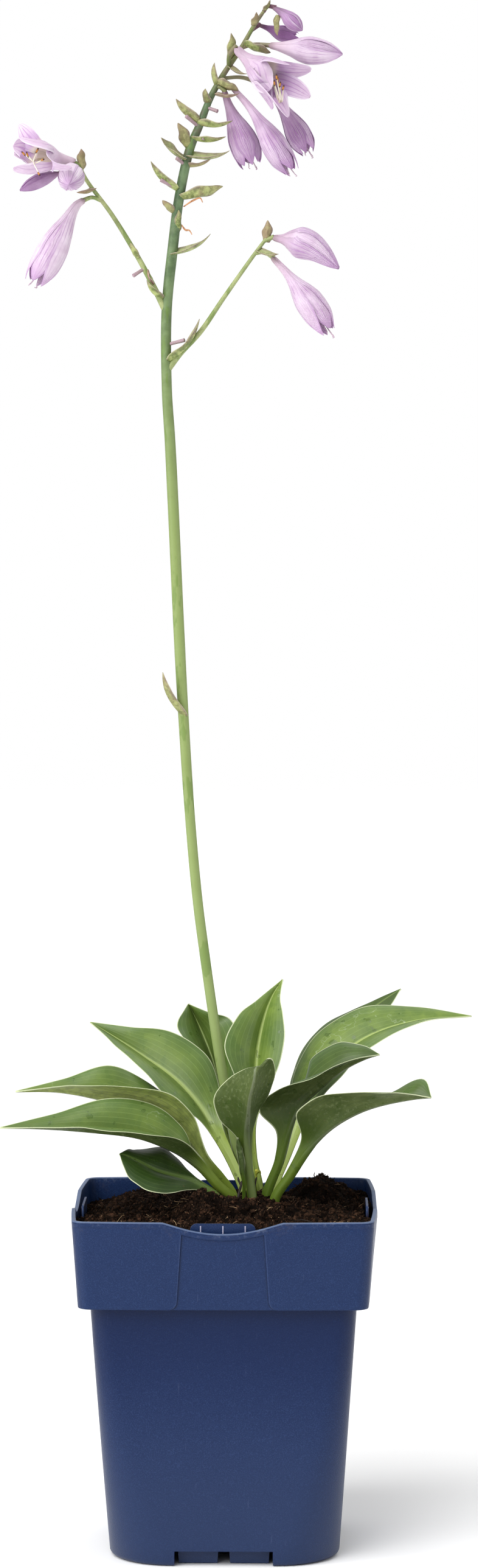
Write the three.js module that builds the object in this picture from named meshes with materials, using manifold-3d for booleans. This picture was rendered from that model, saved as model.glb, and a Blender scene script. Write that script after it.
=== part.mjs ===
// A potted hosta in flower: a square nursery pot full of peat, a clump of folded, cupped leaves, and one tall
// leaning scape with two side branches and thirteen mauve blooms.
// Millimetres, +Z up. The origin is the middle of the pot's underside, and the pot's front is at -Y.
import * as THREE from "three";
import { mergeVertices } from "three/addons/utils/BufferGeometryUtils.js";
import Module from "manifold-3d";

const wasm = await Module();
wasm.setup();

// Driving dimensions
const gap = 0.3; // clearance between neighbouring pieces
const pot = {
  height: 164,
  rimHalf: 70,
  wall: 1.2,
  bandBottom: 122.7,
  bandHalf: 67.4,
  bodyTopHalf: 62,
  baseHalf: 54.3,
  rimCorner: 6.5,
  bodyTopCorner: 9,
  baseCorner: 29,
  lipHeight: 3,
  lipProud: 0.7,
  rimBulge: 2.3, // how far the sides bow out under the weight of the peat
  bandBulge: 1.4,
  bodyBulge: 1,
  dipDepth: 5.2, // the rim is lower in the middle of each side
  dipHalf: 28,
  panelRecess: 0.7,
  panelTopHalf: 19,
  panelBottomHalf: 21.5,
  floor: 1.4,
  channelHeight: 7,
  channelWidth: 46,
  channelLength: 28,
};
const labelTab = { topWidth: 29, bottomWidth: 33, top: 163, bottom: 150, thickness: 1, setBack: 2.2 };
const foot = { width: 18, length: 7, setBack: 7, between: 6 };
const drain = { radius: 3.5, fromMiddle: 38, cornerFromMiddle: 36 };
const peat = { edge: 157.5, crumb: 1.2, cells: 20 };
const blade = { thickness: 0.75, ribThickness: 1.3, petioleThickness: 2.3, petioleHalfWidth: 2.7, bulge: 0.1 };
const petal = { thickness: 0.7 };
const bractThickness = 0.7;

const colours = {
  plastic: 0x27335c,
  peat: 0x2b1c14,
  leaf: 0x54793c,
  scape: 0x9db865,
  bloom: 0xb9a2cf,
};

// Points and closed surfaces

const point = ([x, y, z]) => new THREE.Vector3(x, y, z);

function curveThrough(points) {
  return new THREE.CatmullRomCurve3(points, false, "centripetal");
}

// Joins rings of equal length into one closed surface and closes both ends with a fan of triangles.
// slant(i) picks the diagonal of the i-th quad round the ring.
function loft(rings, slant = () => false) {
  const count = rings[0].length;
  const positions = rings.flat().flatMap((v) => [v.x, v.y, v.z]);
  const faces = [];
  for (let r = 0; r + 1 < rings.length; r++) {
    for (let i = 0; i < count; i++) {
      const a = r * count + i;
      const b = r * count + ((i + 1) % count);
      const c = b + count;
      const d = a + count;
      if (slant(i)) faces.push(a, b, d, b, c, d);
      else faces.push(a, b, c, a, c, d);
    }
  }
  const middleOf = (ring) => ring.reduce((sum, v) => sum.add(v), new THREE.Vector3()).divideScalar(count);
  const first = positions.length / 3;
  for (const ring of [rings[0], rings.at(-1)]) {
    const middle = middleOf(ring);
    positions.push(middle.x, middle.y, middle.z);
  }
  const lastRing = (rings.length - 1) * count;
  for (let i = 0; i < count; i++) {
    const next = (i + 1) % count;
    faces.push(first, next, i);
    faces.push(first + 1, lastRing + i, lastRing + next);
  }
  const geometry = new THREE.BufferGeometry();
  geometry.setAttribute("position", new THREE.Float32BufferAttribute(positions, 3));
  geometry.setIndex(faces);
  return geometry;
}

// Closed surfaces to solids and back, for joins and cuts

function solid(geometry) {
  const plain = geometry.clone();
  plain.deleteAttribute("normal");
  plain.deleteAttribute("uv");
  const merged = mergeVertices(plain, 1e-3);
  const triVerts = new Uint32Array(merged.index.array);
  const vertProperties = new Float32Array(merged.attributes.position.array);
  const made = new wasm.Manifold(new wasm.Mesh({ numProp: 3, vertProperties, triVerts }));
  if (made.volume() > 0) return made;
  for (let i = 0; i < triVerts.length; i += 3) {
    const swapped = triVerts[i];
    triVerts[i] = triVerts[i + 1];
    triVerts[i + 1] = swapped;
  }
  return new wasm.Manifold(new wasm.Mesh({ numProp: 3, vertProperties, triVerts }));
}

function geometryOf(made) {
  const mesh = made.getMesh();
  const geometry = new THREE.BufferGeometry();
  geometry.setAttribute("position", new THREE.BufferAttribute(new Float32Array(mesh.vertProperties), 3));
  geometry.setIndex(new THREE.BufferAttribute(new Uint32Array(mesh.triVerts), 1));
  return geometry;
}

function union(solids) {
  return solids.reduce((sum, next) => sum.add(next));
}

function boxSolid(width, depth, height, x, y, z) {
  return solid(new THREE.BoxGeometry(width, depth, height).translate(x, y, z));
}

// Frames carried along a curve without twist

function framesAlong(curve, stops, firstSide) {
  const frames = [];
  let side = firstSide.clone();
  for (const t of stops) {
    const tangent = curve.getTangent(t);
    side.addScaledVector(tangent, -side.dot(tangent)).normalize();
    frames.push({ at: curve.getPoint(t), tangent, side: side.clone(), across: tangent.clone().cross(side) });
  }
  return frames;
}

function evenStops(count) {
  return Array.from({ length: count }, (_, i) => i / (count - 1));
}

// A round stalk through points, with a radius at each point
function stalk(points, radii, sides, steps) {
  const curve = curveThrough(points.map(point));
  const firstSide = Math.abs(curve.getTangent(0).x) < 0.8 ? new THREE.Vector3(1, 0, 0) : new THREE.Vector3(0, 1, 0);
  const stops = evenStops(steps + 1);
  const rings = framesAlong(curve, stops, firstSide).map(({ at, side, across }, i) => {
    const place = stops[i] * (radii.length - 1);
    const low = Math.min(Math.floor(place), radii.length - 2);
    const radius = THREE.MathUtils.lerp(radii[low], radii[low + 1], place - low);
    return Array.from({ length: sides }, (_, k) => {
      const angle = (k / sides) * 2 * Math.PI;
      return at
        .clone()
        .addScaledVector(side, radius * Math.cos(angle))
        .addScaledVector(across, radius * Math.sin(angle));
    });
  });
  return solid(loft(rings));
}

// The pot

// One ring round the pot: four straight or bowed sides with round corners.
function potRing({ half, corner, z, bulge = 0, recess = 0, panelHalf = pot.panelTopHalf, dip = 0 }) {
  const straight = half - corner;
  const fit = Math.min(1, (0.92 * straight) / pot.dipHalf);
  const panel = panelHalf * fit;
  const stations = [-pot.dipHalf * fit, -panel - 0.7, -panel, -panel / 2, 0, panel / 2, panel, panel + 0.7];
  stations.push(pot.dipHalf * fit);
  const cornerSteps = 3;
  const ring = [];
  for (let quarter = 0; quarter < 4; quarter++) {
    const turn = new THREE.Matrix4().makeRotationZ((quarter * Math.PI) / 2);
    for (const x of stations) {
      const bow = bulge * (1 - (x / straight) ** 2);
      const sunk = Math.abs(x) < panel + 0.1 ? recess : 0;
      const drop = dip * Math.max(0, 1 - (x / pot.dipHalf) ** 2) ** 1.15;
      ring.push(new THREE.Vector3(x, -half - bow + sunk, z - drop).applyMatrix4(turn));
    }
    for (let i = 0; i <= cornerSteps; i++) {
      const angle = ((i / cornerSteps) * Math.PI) / 2;
      const x = straight + corner * Math.sin(angle);
      const y = -straight - corner * Math.cos(angle);
      ring.push(new THREE.Vector3(x, y, z).applyMatrix4(turn));
    }
  }
  return ring;
}

// The rings of the inner wall, from a flat top down to the floor. The pot and what fills it share them.
function innerRings(clearance, floorZ, topZ, dip = 0) {
  const inset = pot.wall + clearance;
  const ledgeZ = pot.bandBottom + inset;
  const rim = { half: pot.rimHalf - pot.lipProud - inset, corner: pot.rimCorner - inset, z: topZ, dip };
  const ledge = { half: pot.bandHalf - inset, corner: pot.rimCorner - inset, z: ledgeZ };
  const bodyTop = { half: pot.bodyTopHalf - inset, corner: pot.bodyTopCorner - inset, z: ledgeZ };
  const base = { half: pot.baseHalf - inset, corner: pot.baseCorner - inset, z: floorZ };
  return [
    potRing({ ...rim, bulge: pot.rimBulge }),
    potRing({ ...ledge, bulge: pot.bandBulge - pot.panelRecess }),
    potRing({ ...bodyTop, bulge: pot.bodyBulge }),
    potRing(base),
  ];
}

function potInside(clearance, floorZ) {
  return solid(loft(innerRings(clearance, floorZ, pot.height)));
}

function makePot() {
  const lip = { corner: pot.rimCorner, bulge: pot.rimBulge, dip: pot.dipDepth };
  const underLip = pot.height - pot.lipHeight;
  const floorTop = pot.channelHeight + pot.floor;
  const wallTop = { half: pot.rimHalf - pot.lipProud / 2, bulge: pot.rimBulge, dip: pot.dipDepth };
  const shell = solid(
    loft([
      potRing({ half: pot.baseHalf - 1.5, corner: pot.baseCorner, z: 0 }),
      potRing({ half: pot.baseHalf, corner: pot.baseCorner, z: 2 }),
      potRing({ half: pot.bodyTopHalf, corner: pot.bodyTopCorner, z: pot.bandBottom, bulge: pot.bodyBulge }),
      potRing({
        half: pot.bandHalf,
        corner: pot.rimCorner,
        z: pot.bandBottom,
        bulge: pot.bandBulge,
        recess: pot.panelRecess,
        panelHalf: pot.panelBottomHalf,
      }),
      potRing({ ...wallTop, corner: pot.rimCorner, z: underLip - 0.3, recess: pot.panelRecess }),
      potRing({ ...lip, half: pot.rimHalf, z: underLip }),
      potRing({ ...lip, half: pot.rimHalf, z: pot.height - 0.4 }),
      potRing({ ...lip, half: pot.rimHalf - 0.4, z: pot.height }),
      ...innerRings(0, floorTop, pot.height, pot.dipDepth),
    ]),
  );
  const aroundFour = (make) => [0, 1, 2, 3].map((quarter) => make().rotate([0, 0, quarter * 90]));
  const channel = () =>
    boxSolid(
      pot.channelWidth,
      pot.channelLength,
      2 * pot.channelHeight,
      0,
      -pot.baseHalf + pot.channelLength / 2 - 1,
      0,
    );
  const footPair = () =>
    union(
      [-1, 1].map((side) =>
        boxSolid(
          foot.width,
          foot.length,
          pot.channelHeight + 0.5,
          (side * (foot.width + foot.between)) / 2,
          -pot.baseHalf + foot.setBack + foot.length / 2,
          (pot.channelHeight + 0.5) / 2,
        ),
      ),
    );
  const cutUnder = union(aroundFour(channel));
  const pockets = floorPockets(0);
  const drainHole = (x, y) =>
    solid(new THREE.CylinderGeometry(drain.radius, drain.radius, 40, 8).rotateX(Math.PI / 2).translate(x, y, 0));
  const drains = aroundFour(() =>
    drainHole(0, -drain.fromMiddle + 4).add(drainHole(drain.cornerFromMiddle, -drain.cornerFromMiddle)),
  );
  return shell
    .subtract(cutUnder)
    .subtract(pockets)
    .add(union(aroundFour(footPair)))
    .subtract(union(drains))
    .add(union(aroundFour(makeLabelTab)));
}

// The low corners of the floor between the raised channels, shrunk by a clearance.
function floorPockets(clearance) {
  const size = 2 * pot.baseHalf;
  const top = pot.channelHeight + pot.floor + 2 - 2 * clearance;
  const low = potInside(clearance, pot.floor + clearance).intersect(boxSolid(size, size, 2 * top, 0, 0, 0));
  const arm = pot.channelWidth + 2 * (pot.wall + clearance);
  const cross = boxSolid(arm, 2 * size, 40, 0, 0, 0).add(boxSolid(2 * size, arm, 40, 0, 0, 0));
  return low.subtract(cross);
}

// A low upright tab inside each dip, where a plant label goes
function makeLabelTab() {
  const outline = new THREE.Shape();
  const cut = 3;
  outline.moveTo(-labelTab.bottomWidth / 2, labelTab.bottom);
  outline.lineTo(labelTab.bottomWidth / 2, labelTab.bottom);
  outline.lineTo(labelTab.topWidth / 2 + 1, labelTab.top - cut);
  outline.lineTo(labelTab.topWidth / 2 - 2, labelTab.top);
  outline.lineTo(2 - labelTab.topWidth / 2, labelTab.top);
  outline.lineTo(-labelTab.topWidth / 2 - 1, labelTab.top - cut);
  const front = pot.rimHalf - labelTab.setBack;
  const tab = new THREE.ExtrudeGeometry(outline, { depth: labelTab.thickness, bevelEnabled: false });
  const bridge = boxSolid(labelTab.bottomWidth - 4, 3.6, 2, 0, -front - 0.8, labelTab.bottom + 1);
  return solid(tab.rotateX(Math.PI / 2).translate(0, -front + labelTab.thickness, 0)).add(bridge);
}

// The peat

// A repeatable scatter of crumbs: a value from 0 to 1 for each pair of whole numbers
function scatter(i, j) {
  const mixed = Math.sin(i * 127.1 + j * 311.7) * 43758.5453;
  return mixed - Math.floor(mixed);
}

function hump(x, y, middleX, middleY, spreadX, spreadY) {
  return Math.exp(-(((x - middleX) / spreadX) ** 2 + ((y - middleY) / spreadY) ** 2) / 2);
}

function peatHeight(x, y) {
  const mound = 7.5 * hump(x, y, 11, -1, 19, 19);
  const heap = 11 * hump(x, y, 47, 46, 11, 15);
  const hollow = 8 * hump(x, y, 31, 40, 7, 16);
  const lowCorner = 6 * hump(x, y, -62, 55, 16, 22);
  const frontRise = 2.5 * hump(x, y, 0, -62, 60, 20);
  return peat.edge + mound + heap - hollow - lowCorner + frontRise;
}

function peatField() {
  const half = pot.rimHalf + pot.rimBulge;
  const step = (2 * half) / peat.cells;
  const field = new THREE.PlaneGeometry(2 * half, 2 * half, peat.cells, peat.cells);
  const tops = field.attributes.position;
  const faces = [...field.index.array];
  const positions = [];
  for (let i = 0; i < tops.count; i++) {
    const x = tops.getX(i);
    const y = tops.getY(i);
    const crumb = peat.crumb * (scatter(Math.round(x / step), Math.round(y / step)) - 0.5) * 2;
    positions.push(x, y, peatHeight(x, y) + crumb);
  }
  const row = peat.cells + 1;
  const rim = [];
  for (let i = 0; i < peat.cells; i++) rim.push(i);
  for (let i = 0; i < peat.cells; i++) rim.push(i * row + peat.cells);
  for (let i = peat.cells; i > 0; i--) rim.push(peat.cells * row + i);
  for (let i = peat.cells; i > 0; i--) rim.push(i * row);
  const firstLow = positions.length / 3;
  for (const i of rim) positions.push(tops.getX(i), tops.getY(i), -1);
  const middle = positions.length / 3;
  positions.push(0, 0, -1);
  rim.forEach((top, i) => {
    const next = (i + 1) % rim.length;
    faces.push(top, rim[next], firstLow + i);
    faces.push(rim[next], firstLow + next, firstLow + i);
    faces.push(middle, firstLow + i, firstLow + next);
  });
  const geometry = new THREE.BufferGeometry();
  geometry.setAttribute("position", new THREE.Float32BufferAttribute(positions, 3));
  geometry.setIndex(faces);
  return solid(geometry);
}

function makePeat(stalkHoles) {
  const floorTop = pot.channelHeight + pot.floor + gap;
  return potInside(gap, floorTop)
    .intersect(peatField())
    .add(floorPockets(gap))
    .subtract(union(aroundTabs()))
    .subtract(union(stalkHoles));
}

// Room for the four label tabs
function aroundTabs() {
  const front = pot.rimHalf - labelTab.setBack;
  return [0, 1, 2, 3].map((quarter) =>
    boxSolid(labelTab.bottomWidth + 2 * gap, 6, 60, 0, -front - 1.2, labelTab.bottom + 30 - gap).rotate([
      0,
      0,
      quarter * 90,
    ]),
  );
}

// The leaves

// Each leaf: where it is rooted in the peat, two points up its stalk, then at five stations of the blade the
// midrib and the left and right margins (seen from the stalk along the upper side), and the tip.
const leaves = {
  leaf_01: {
    root: [11, -1.5, 157],
    stalk: [[9.5, -1.5, 166], [1, 2, 185]],
    blade: [
      [[-5, 6, 195], [-9, 3, 197], [-2, 6, 200]],
      [[-14, 12, 208], [-20, -2, 208], [-3, 20, 214]],
      [[-25, 18, 219], [-31, -2, 216], [-10, 27, 230]],
      [[-40, 24, 229], [-43, 6, 228], [-27, 29, 241]],
      [[-54, 28, 238], [-55, 18, 237], [-45, 28, 243]],
    ],
    tip: [-66, 32, 245],
  },
  leaf_02: {
    root: [5, -4, 157],
    stalk: [[4, -4, 167], [-2.5, -5.5, 176]],
    blade: [
      [[-9, -8, 183], [-12, -8, 188], [-8, -4, 185]],
      [[-20, -9, 196], [-15, -18, 207], [-19, 2, 206]],
      [[-36, -10, 206], [-28, -25, 218], [-31, 8, 215]],
      [[-59, -11, 213], [-56, -26, 222], [-54, -2, 228]],
      [[-78, -13, 217], [-77, -21, 220.5], [-77, -8, 222.5]],
    ],
    tip: [-99, -16, 217.5],
  },
  leaf_03: {
    root: [6, -10, 157],
    stalk: [[4, -10, 165], [-4, -13, 173]],
    blade: [
      [[-14, -17, 183], [-12, -19, 188], [-14, -14, 187]],
      [[-24, -22, 190], [-19, -34, 196], [-21, -17, 202]],
      [[-40, -27, 197], [-37, -47, 202], [-34, -19, 212]],
      [[-60, -31, 200.3], [-59, -49, 204], [-56, -23, 215]],
      [[-81, -34, 202.3], [-80, -43, 204], [-79, -28, 209]],
    ],
    tip: [-105, -36, 203],
  },
  leaf_04: {
    root: [5, -16, 157],
    stalk: [[2, -16, 164], [-4, -18, 170]],
    blade: [
      [[-12, -21, 175], [-13, -25, 172], [-15, -17, 178]],
      [[-21, -25, 178], [-23, -39, 173], [-21, -11, 184]],
      [[-32, -30, 182], [-34, -47, 175], [-29, -13, 190]],
      [[-40, -34, 187], [-43, -45, 179], [-40, -21, 191]],
      [[-46, -36, 190], [-47, -42, 186], [-45, -29, 192]],
    ],
    tip: [-49, -37, 191],
  },
  leaf_05: {
    root: [9, 10, 157],
    stalk: [[9, 11, 168], [3, 17, 187]],
    blade: [
      [[-1, 24, 199], [-3, 20, 201], [2, 20, 202]],
      [[-3, 32, 211], [-10, 19, 214], [4, 21, 218]],
      [[-7, 42, 225], [-19, 27, 233], [5, 31, 238]],
      [[-12, 48, 237], [-24, 36, 243], [1, 40, 246]],
      [[-16, 50, 246], [-22, 41, 248], [-9, 42, 249]],
    ],
    tip: [-19, 49, 252],
  },
  leaf_06: {
    root: [16.2, 10.6, 157],
    stalk: [[16, 10.8, 168], [13, 13, 182]],
    blade: [
      [[12.5, 17, 196], [10.5, 13, 198], [14.5, 14, 199]],
      [[14, 25, 212], [5, 15, 218], [21, 12, 215]],
      [[15, 33, 230], [-1, 19, 234], [27, 16, 233]],
      [[18, 38, 246], [6, 25, 249], [28, 24, 247]],
      [[22, 40, 257], [15, 34, 256], [26, 31, 256]],
    ],
    tip: [27, 41, 265],
  },
  leaf_07: {
    root: [23, 3, 157],
    stalk: [[23, 4, 168], [29, 10, 183]],
    blade: [
      [[35, 18, 199], [32, 21, 201], [39, 15, 201]],
      [[41, 25, 211], [32, 36, 216], [44, 10, 210]],
      [[53, 34, 226], [42, 49, 236], [56, 13, 222]],
      [[69, 41, 237], [64, 55, 249], [71, 22, 235]],
      [[93, 47, 244.2], [92, 54, 250.3], [94, 39, 244.4]],
    ],
    tip: [119, 52, 246],
  },
  leaf_08: {
    root: [24, 12, 157],
    stalk: [[22, 13, 168], [26, 23, 182]],
    blade: [
      [[32, 36, 197], [31, 41, 198], [34, 32, 198]],
      [[39, 48, 214], [31, 59, 215], [46, 37, 214]],
      [[49, 60, 229], [40, 75, 232], [56, 44, 225]],
      [[63, 68, 242], [56, 81, 243], [69, 54, 239]],
      [[76, 72, 251], [70, 78, 250], [79, 65, 248]],
    ],
    tip: [85, 74, 257],
  },
  leaf_09: {
    root: [19, -4, 157],
    stalk: [[20, -3.5, 167], [26, -3.5, 183]],
    blade: [
      [[31, -4, 199], [32, 3, 202], [24, -4, 197]],
      [[36, -6, 209], [38, 11, 218], [16, -6, 207]],
      [[45, -8, 218], [41, 11, 229], [24, -14.5, 218]],
      [[57, -10, 228.2], [54, 3, 239], [42, -20, 225]],
      [[66, -11, 232.8], [66, -4, 238], [60, -18, 233]],
    ],
    tip: [73, -13, 235],
  },
  leaf_10: {
    root: [23, -10, 157],
    stalk: [[24, -10, 166], [31, -12, 177]],
    blade: [
      [[40, -15, 190], [42, -9, 192], [36, -15, 195]],
      [[51, -19, 201], [47, 0, 205], [34, -26, 209]],
      [[64, -22, 209], [61, 1, 212], [45, -32, 218]],
      [[77, -26, 214], [76, -7, 215], [67, -41, 220]],
      [[88, -29, 216], [94, -23, 224.4], [82, -37, 220]],
    ],
    tip: [97, -31, 217],
  },
  leaf_11: {
    root: [14, -10, 157],
    stalk: [[13, -10, 166], [11, -12, 181]],
    blade: [
      [[10, -17, 196], [13, -14, 198], [7, -15, 193]],
      [[11, -25, 206], [17, -14, 209], [-3, -18, 206]],
      [[12, -34, 217], [22, -21, 221], [-5, -21, 216]],
      [[14, -40, 226], [24, -30, 232], [3, -27, 226]],
      [[15, -41, 231], [21, -36, 236], [12, -33, 231]],
    ],
    tip: [17, -36, 232],
  },
  leaf_12: {
    root: [9, -14, 157],
    stalk: [[9, -14, 167], [9, -15, 174]],
    blade: [
      [[8.3, -16, 179], [9.4, -14.5, 180], [7, -14.5, 180]],
      [[8, -16.5, 183], [9.4, -14.8, 184], [6.6, -14.8, 184]],
      [[7.4, -17, 187], [8.8, -15.2, 187], [6, -15.2, 187]],
      [[6.8, -17.3, 191], [8, -15.8, 191], [5.7, -15.8, 191]],
      [[6.4, -17.6, 194], [7, -17, 194], [5.8, -17, 194]],
    ],
    tip: [6, -18, 196],
    halfWidth: 1.3,
    thickness: 1,
  },
};

// Steps between the rails' points, from the root to the tip
const leafSteps = [1, 2, 2, 3, 3, 2, 2, 2];
const acrossHalf = [1, 0.52];

function leafRails({ root, stalk: stem, blade: stations, tip, halfWidth = blade.petioleHalfWidth }) {
  const rib = [root, ...stem, ...stations.map((s) => s[0]), tip].map(point);
  const ribCurve = curveThrough(rib);
  const firstBlade = stem.length + 1;
  const side = (which) => {
    const towards = point(stations[0][which]).sub(rib[firstBlade]);
    const away = point(stations.at(-1)[which]).sub(rib.at(-2)).normalize();
    const low = rib.slice(0, firstBlade).map((at, i) => {
      const tangent = ribCurve.getTangent(i / (rib.length - 1));
      const square = towards.clone().addScaledVector(tangent, -towards.dot(tangent)).normalize();
      return at.clone().addScaledVector(square, halfWidth);
    });
    const high = stations.map((s) => point(s[which]));
    return curveThrough([...low, ...high, rib.at(-1).clone().addScaledVector(away, 0.5)]);
  };
  return { ribCurve, left: side(1), right: side(2), spans: rib.length - 1, firstBlade };
}

function makeLeaf(leaf) {
  const { ribCurve, left, right, spans, firstBlade } = leafRails(leaf);
  const stops = [0];
  leafSteps.forEach((steps, span) => {
    for (let i = 1; i <= steps; i++) stops.push((span + i / steps) / spans);
  });
  const stalkThickness = leaf.thickness ?? blade.petioleThickness;
  const rings = stops.map((t) => {
    const rib = ribCurve.getPoint(t);
    const tangent = ribCurve.getTangent(t);
    const bladeShare = THREE.MathUtils.smoothstep(t * spans, firstBlade - 1.2, firstBlade + 0.8);
    const tipShare = THREE.MathUtils.smoothstep(t * spans, spans - 2, spans);
    const bladeRib = THREE.MathUtils.lerp(blade.ribThickness, blade.thickness, tipShare);
    const ribThickness = THREE.MathUtils.lerp(stalkThickness, bladeRib, bladeShare);
    const edgeThickness = THREE.MathUtils.lerp(stalkThickness / 2, blade.thickness, bladeShare);
    const toLeft = left.getPoint(t).sub(rib);
    const toRight = right.getPoint(t).sub(rib);
    const leftUp = tangent.clone().cross(toLeft).normalize();
    const rightUp = toRight.clone().cross(tangent).normalize();
    const ribUp = leftUp.clone().add(rightUp).normalize();
    const upper = [];
    const lower = [];
    const put = (reach, share, up, thickness) => {
      const arch = 4 * share * (1 - share) * blade.bulge * bladeShare * reach.length();
      const at = rib.clone().addScaledVector(reach, share).addScaledVector(up, arch);
      upper.push(at);
      lower.push(at.clone().addScaledVector(up, -thickness));
    };
    const taper = (share) => THREE.MathUtils.lerp(ribThickness, edgeThickness, share);
    for (const share of acrossHalf) put(toLeft, share, leftUp, taper(share));
    put(new THREE.Vector3(), 0, ribUp, ribThickness);
    for (const share of [...acrossHalf].reverse()) put(toRight, share, rightUp, taper(share));
    return [...upper, ...lower.reverse()];
  });
  const across = 2 * acrossHalf.length + 1;
  return loft(rings, (i) => i >= across);
}

// A hole in the peat for a stalk: the outline of its lower end, widened by the clearance
function stalkHole(root, out, halfAcross, halfDeep) {
  const low = point(root);
  const high = point(out);
  const tangent = high.clone().sub(low).normalize();
  const start = low.clone().addScaledVector(tangent, -gap);
  const end = high.clone().addScaledVector(tangent, 12);
  const side = new THREE.Vector3(1, 0, 0).addScaledVector(tangent, -tangent.x).normalize();
  const across = tangent.clone().cross(side);
  const ringAt = (middle) =>
    Array.from({ length: 8 }, (_, k) => {
      const angle = (k / 8) * 2 * Math.PI;
      return middle
        .clone()
        .addScaledVector(side, halfAcross * Math.cos(angle))
        .addScaledVector(across, halfDeep * Math.sin(angle));
    });
  return solid(loft([ringAt(start), ringAt(end)]));
}

// The scape

const scapeStem = {
  points: [
    [12.5, 5, 157], [11.5, 5.5, 166], [7, 5.5, 180], [2, 3, 205], [-3, 0.5, 233], [-6.6, -1, 257.6], [-9.7, -2, 280],
    [-13.1, -3, 306.5], [-16.5, -4, 344], [-19.9, -5, 397], [-21.9, -6, 436.5], [-24.4, -6, 492], [-26, -6, 525],
    [-27.4, -6, 548], [-27.5, -5, 585], [-24.6, -5, 614], [-21.7, -4, 637], [-16.6, -3, 660.5], [-11.9, -2, 672],
    [-7.2, -1, 684], [-0.8, 0, 695.6], [6.9, 1, 707], [13.7, 2, 718.7], [19, 2, 726.4],
  ],
  radii: [2.6, 2.5, 2.4, 2.4, 2.4, 2.4, 2.6, 2.6, 2.4, 2.5, 2.3, 1.9, 1.6, 1.2, 0.8],
};
const scapeBranches = [
  [[-27.2, -5, 583], [-33, -6, 595], [-41, -7, 610], [-53, -9, 629.5], [-65.1, -12, 646], [-68.5, -13, 653.5]],
  [[-27.2, -6, 557], [-21, -6.5, 565], [-11.5, -8, 575], [-0.4, -9, 591], [13.8, -11, 610.8], [20, -11, 619]],
];
const branchRadii = [1.6, 1.3, 1, 0.8];
const pedicelRadii = [0.9, 0.9, 1];

// Boat-shaped bracts: base, tip and width; the hollow side faces the stem unless a direction is given.
const bracts = [
  [[-19.6, -6, 394], [-31.4, -14, 413.5], 5.5],
  [[-30, -6, 590], [-38, -9, 598], 5],
  [[-34, -7, 597], [-37, -9, 604], 3.5],
  [[-41, -8, 609], [-44.5, -10, 616], 3],
  [[-26, -7, 561], [-9.7, -11, 579.5], 6],
  [[-22.8, -4.6, 621], [-21, -9.5, 631], 3],
  [[-25.5, -6, 611], [-6, -8, 618], 5.5],
  [[-21, -5, 637], [-1.5, -7.5, 643], 6],
  [[-23, -5, 641], [-36.2, -8, 652.7], 6],
  [[-24, -5, 630], [-28.5, -9.5, 636], 3.5],
  [[-18.5, -4, 652], [-6, -3, 654.5], 3.5],
  [[-18, -4, 657], [2, -7, 656.5], 6],
  [[-19, -4, 655], [-30.8, -7.5, 665], 6],
  [[-15.5, -3.5, 665], [0, -7.5, 664], 5],
  [[-17.5, -4, 661], [-20.5, -9.5, 672], 4.5],
  [[-13, -3, 672], [3.7, -6, 671], 5.5],
  [[-13, -3, 673], [-24, -6.5, 682], 6],
  [[-8.5, -2, 681.5], [-10.5, -6, 688], 4],
  [[-4.5, -1, 690], [-6.6, -6, 700], 4],
  [[2.5, 0, 702.5], [4.3, -3.5, 714], 4],
  [[13, 1.5, 718], [15.8, -3, 723.5], 3],
  [[18.5, 2, 725], [21.8, 1, 729.8], 4],
  [[1.8, 0.3, 699], [9, -6, 694], 3.5],
  [[8, 1, 708], [20, -3.5, 707], 3.5],
  [[-67, -12.5, 650], [-66.4, -14.5, 659.5], 4],
  [[-61, -10.8, 641], [-68, -17, 638.5], 4.5],
  [[19, -11, 616.5], [20.9, -12.5, 626.3], 4],
  [[15, -11, 612.5], [24.5, -17, 609], 4.5],
];
const stubs = [
  [[-20, -5, 657], [-22, -7.5, 658]],
  [[-24, -5, 640], [-30.5, -8, 644]],
  [[-13, -3, 668], [-4.5, -6.5, 668]],
  [[-28, -7, 570], [-19, -9, 571]],
  [[-38, -6.6, 604], [-43, -9.5, 601]],
  [[-9, -1.5, 680], [-2.4, -4, 677]],
];
const pedicels = [
  [[12, 2, 716.5], [15.2, 5, 718.8]],
  [[7, 1, 707.5], [13, 1.5, 709.5], [20.2, 0, 709]],
  [[1.6, 0.4, 699.4], [2, -3.6, 704.6], [4.6, -4.5, 707.5]],
  [[-4.5, -0.8, 689], [-2.6, -1.2, 689.5], [-0.8, -1.2, 688.1]],
  [[-3.5, -0.5, 691], [-0.5, -0.3, 692.3], [2.6, -0.8, 690]],
  [[-2, 0.2, 694], [8, 4.5, 694.5], [16.4, 6, 691.7]],
  [[-68, -13, 652], [-70, -14.3, 653.3]],
  [[-66, -12.3, 648], [-72, -15, 648.6], [-76, -16.5, 648.5]],
  [[-68.2, -13.4, 652], [-69, -15.2, 651]],
  [[-58, -10, 636], [-62, -12, 637.3], [-65.2, -13, 636.2]],
  [[19, -11, 617], [21.9, -12, 618.4]],
  [[14, -11, 611], [18.5, -11, 611.7], [21.8, -11, 609.8]],
];

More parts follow.
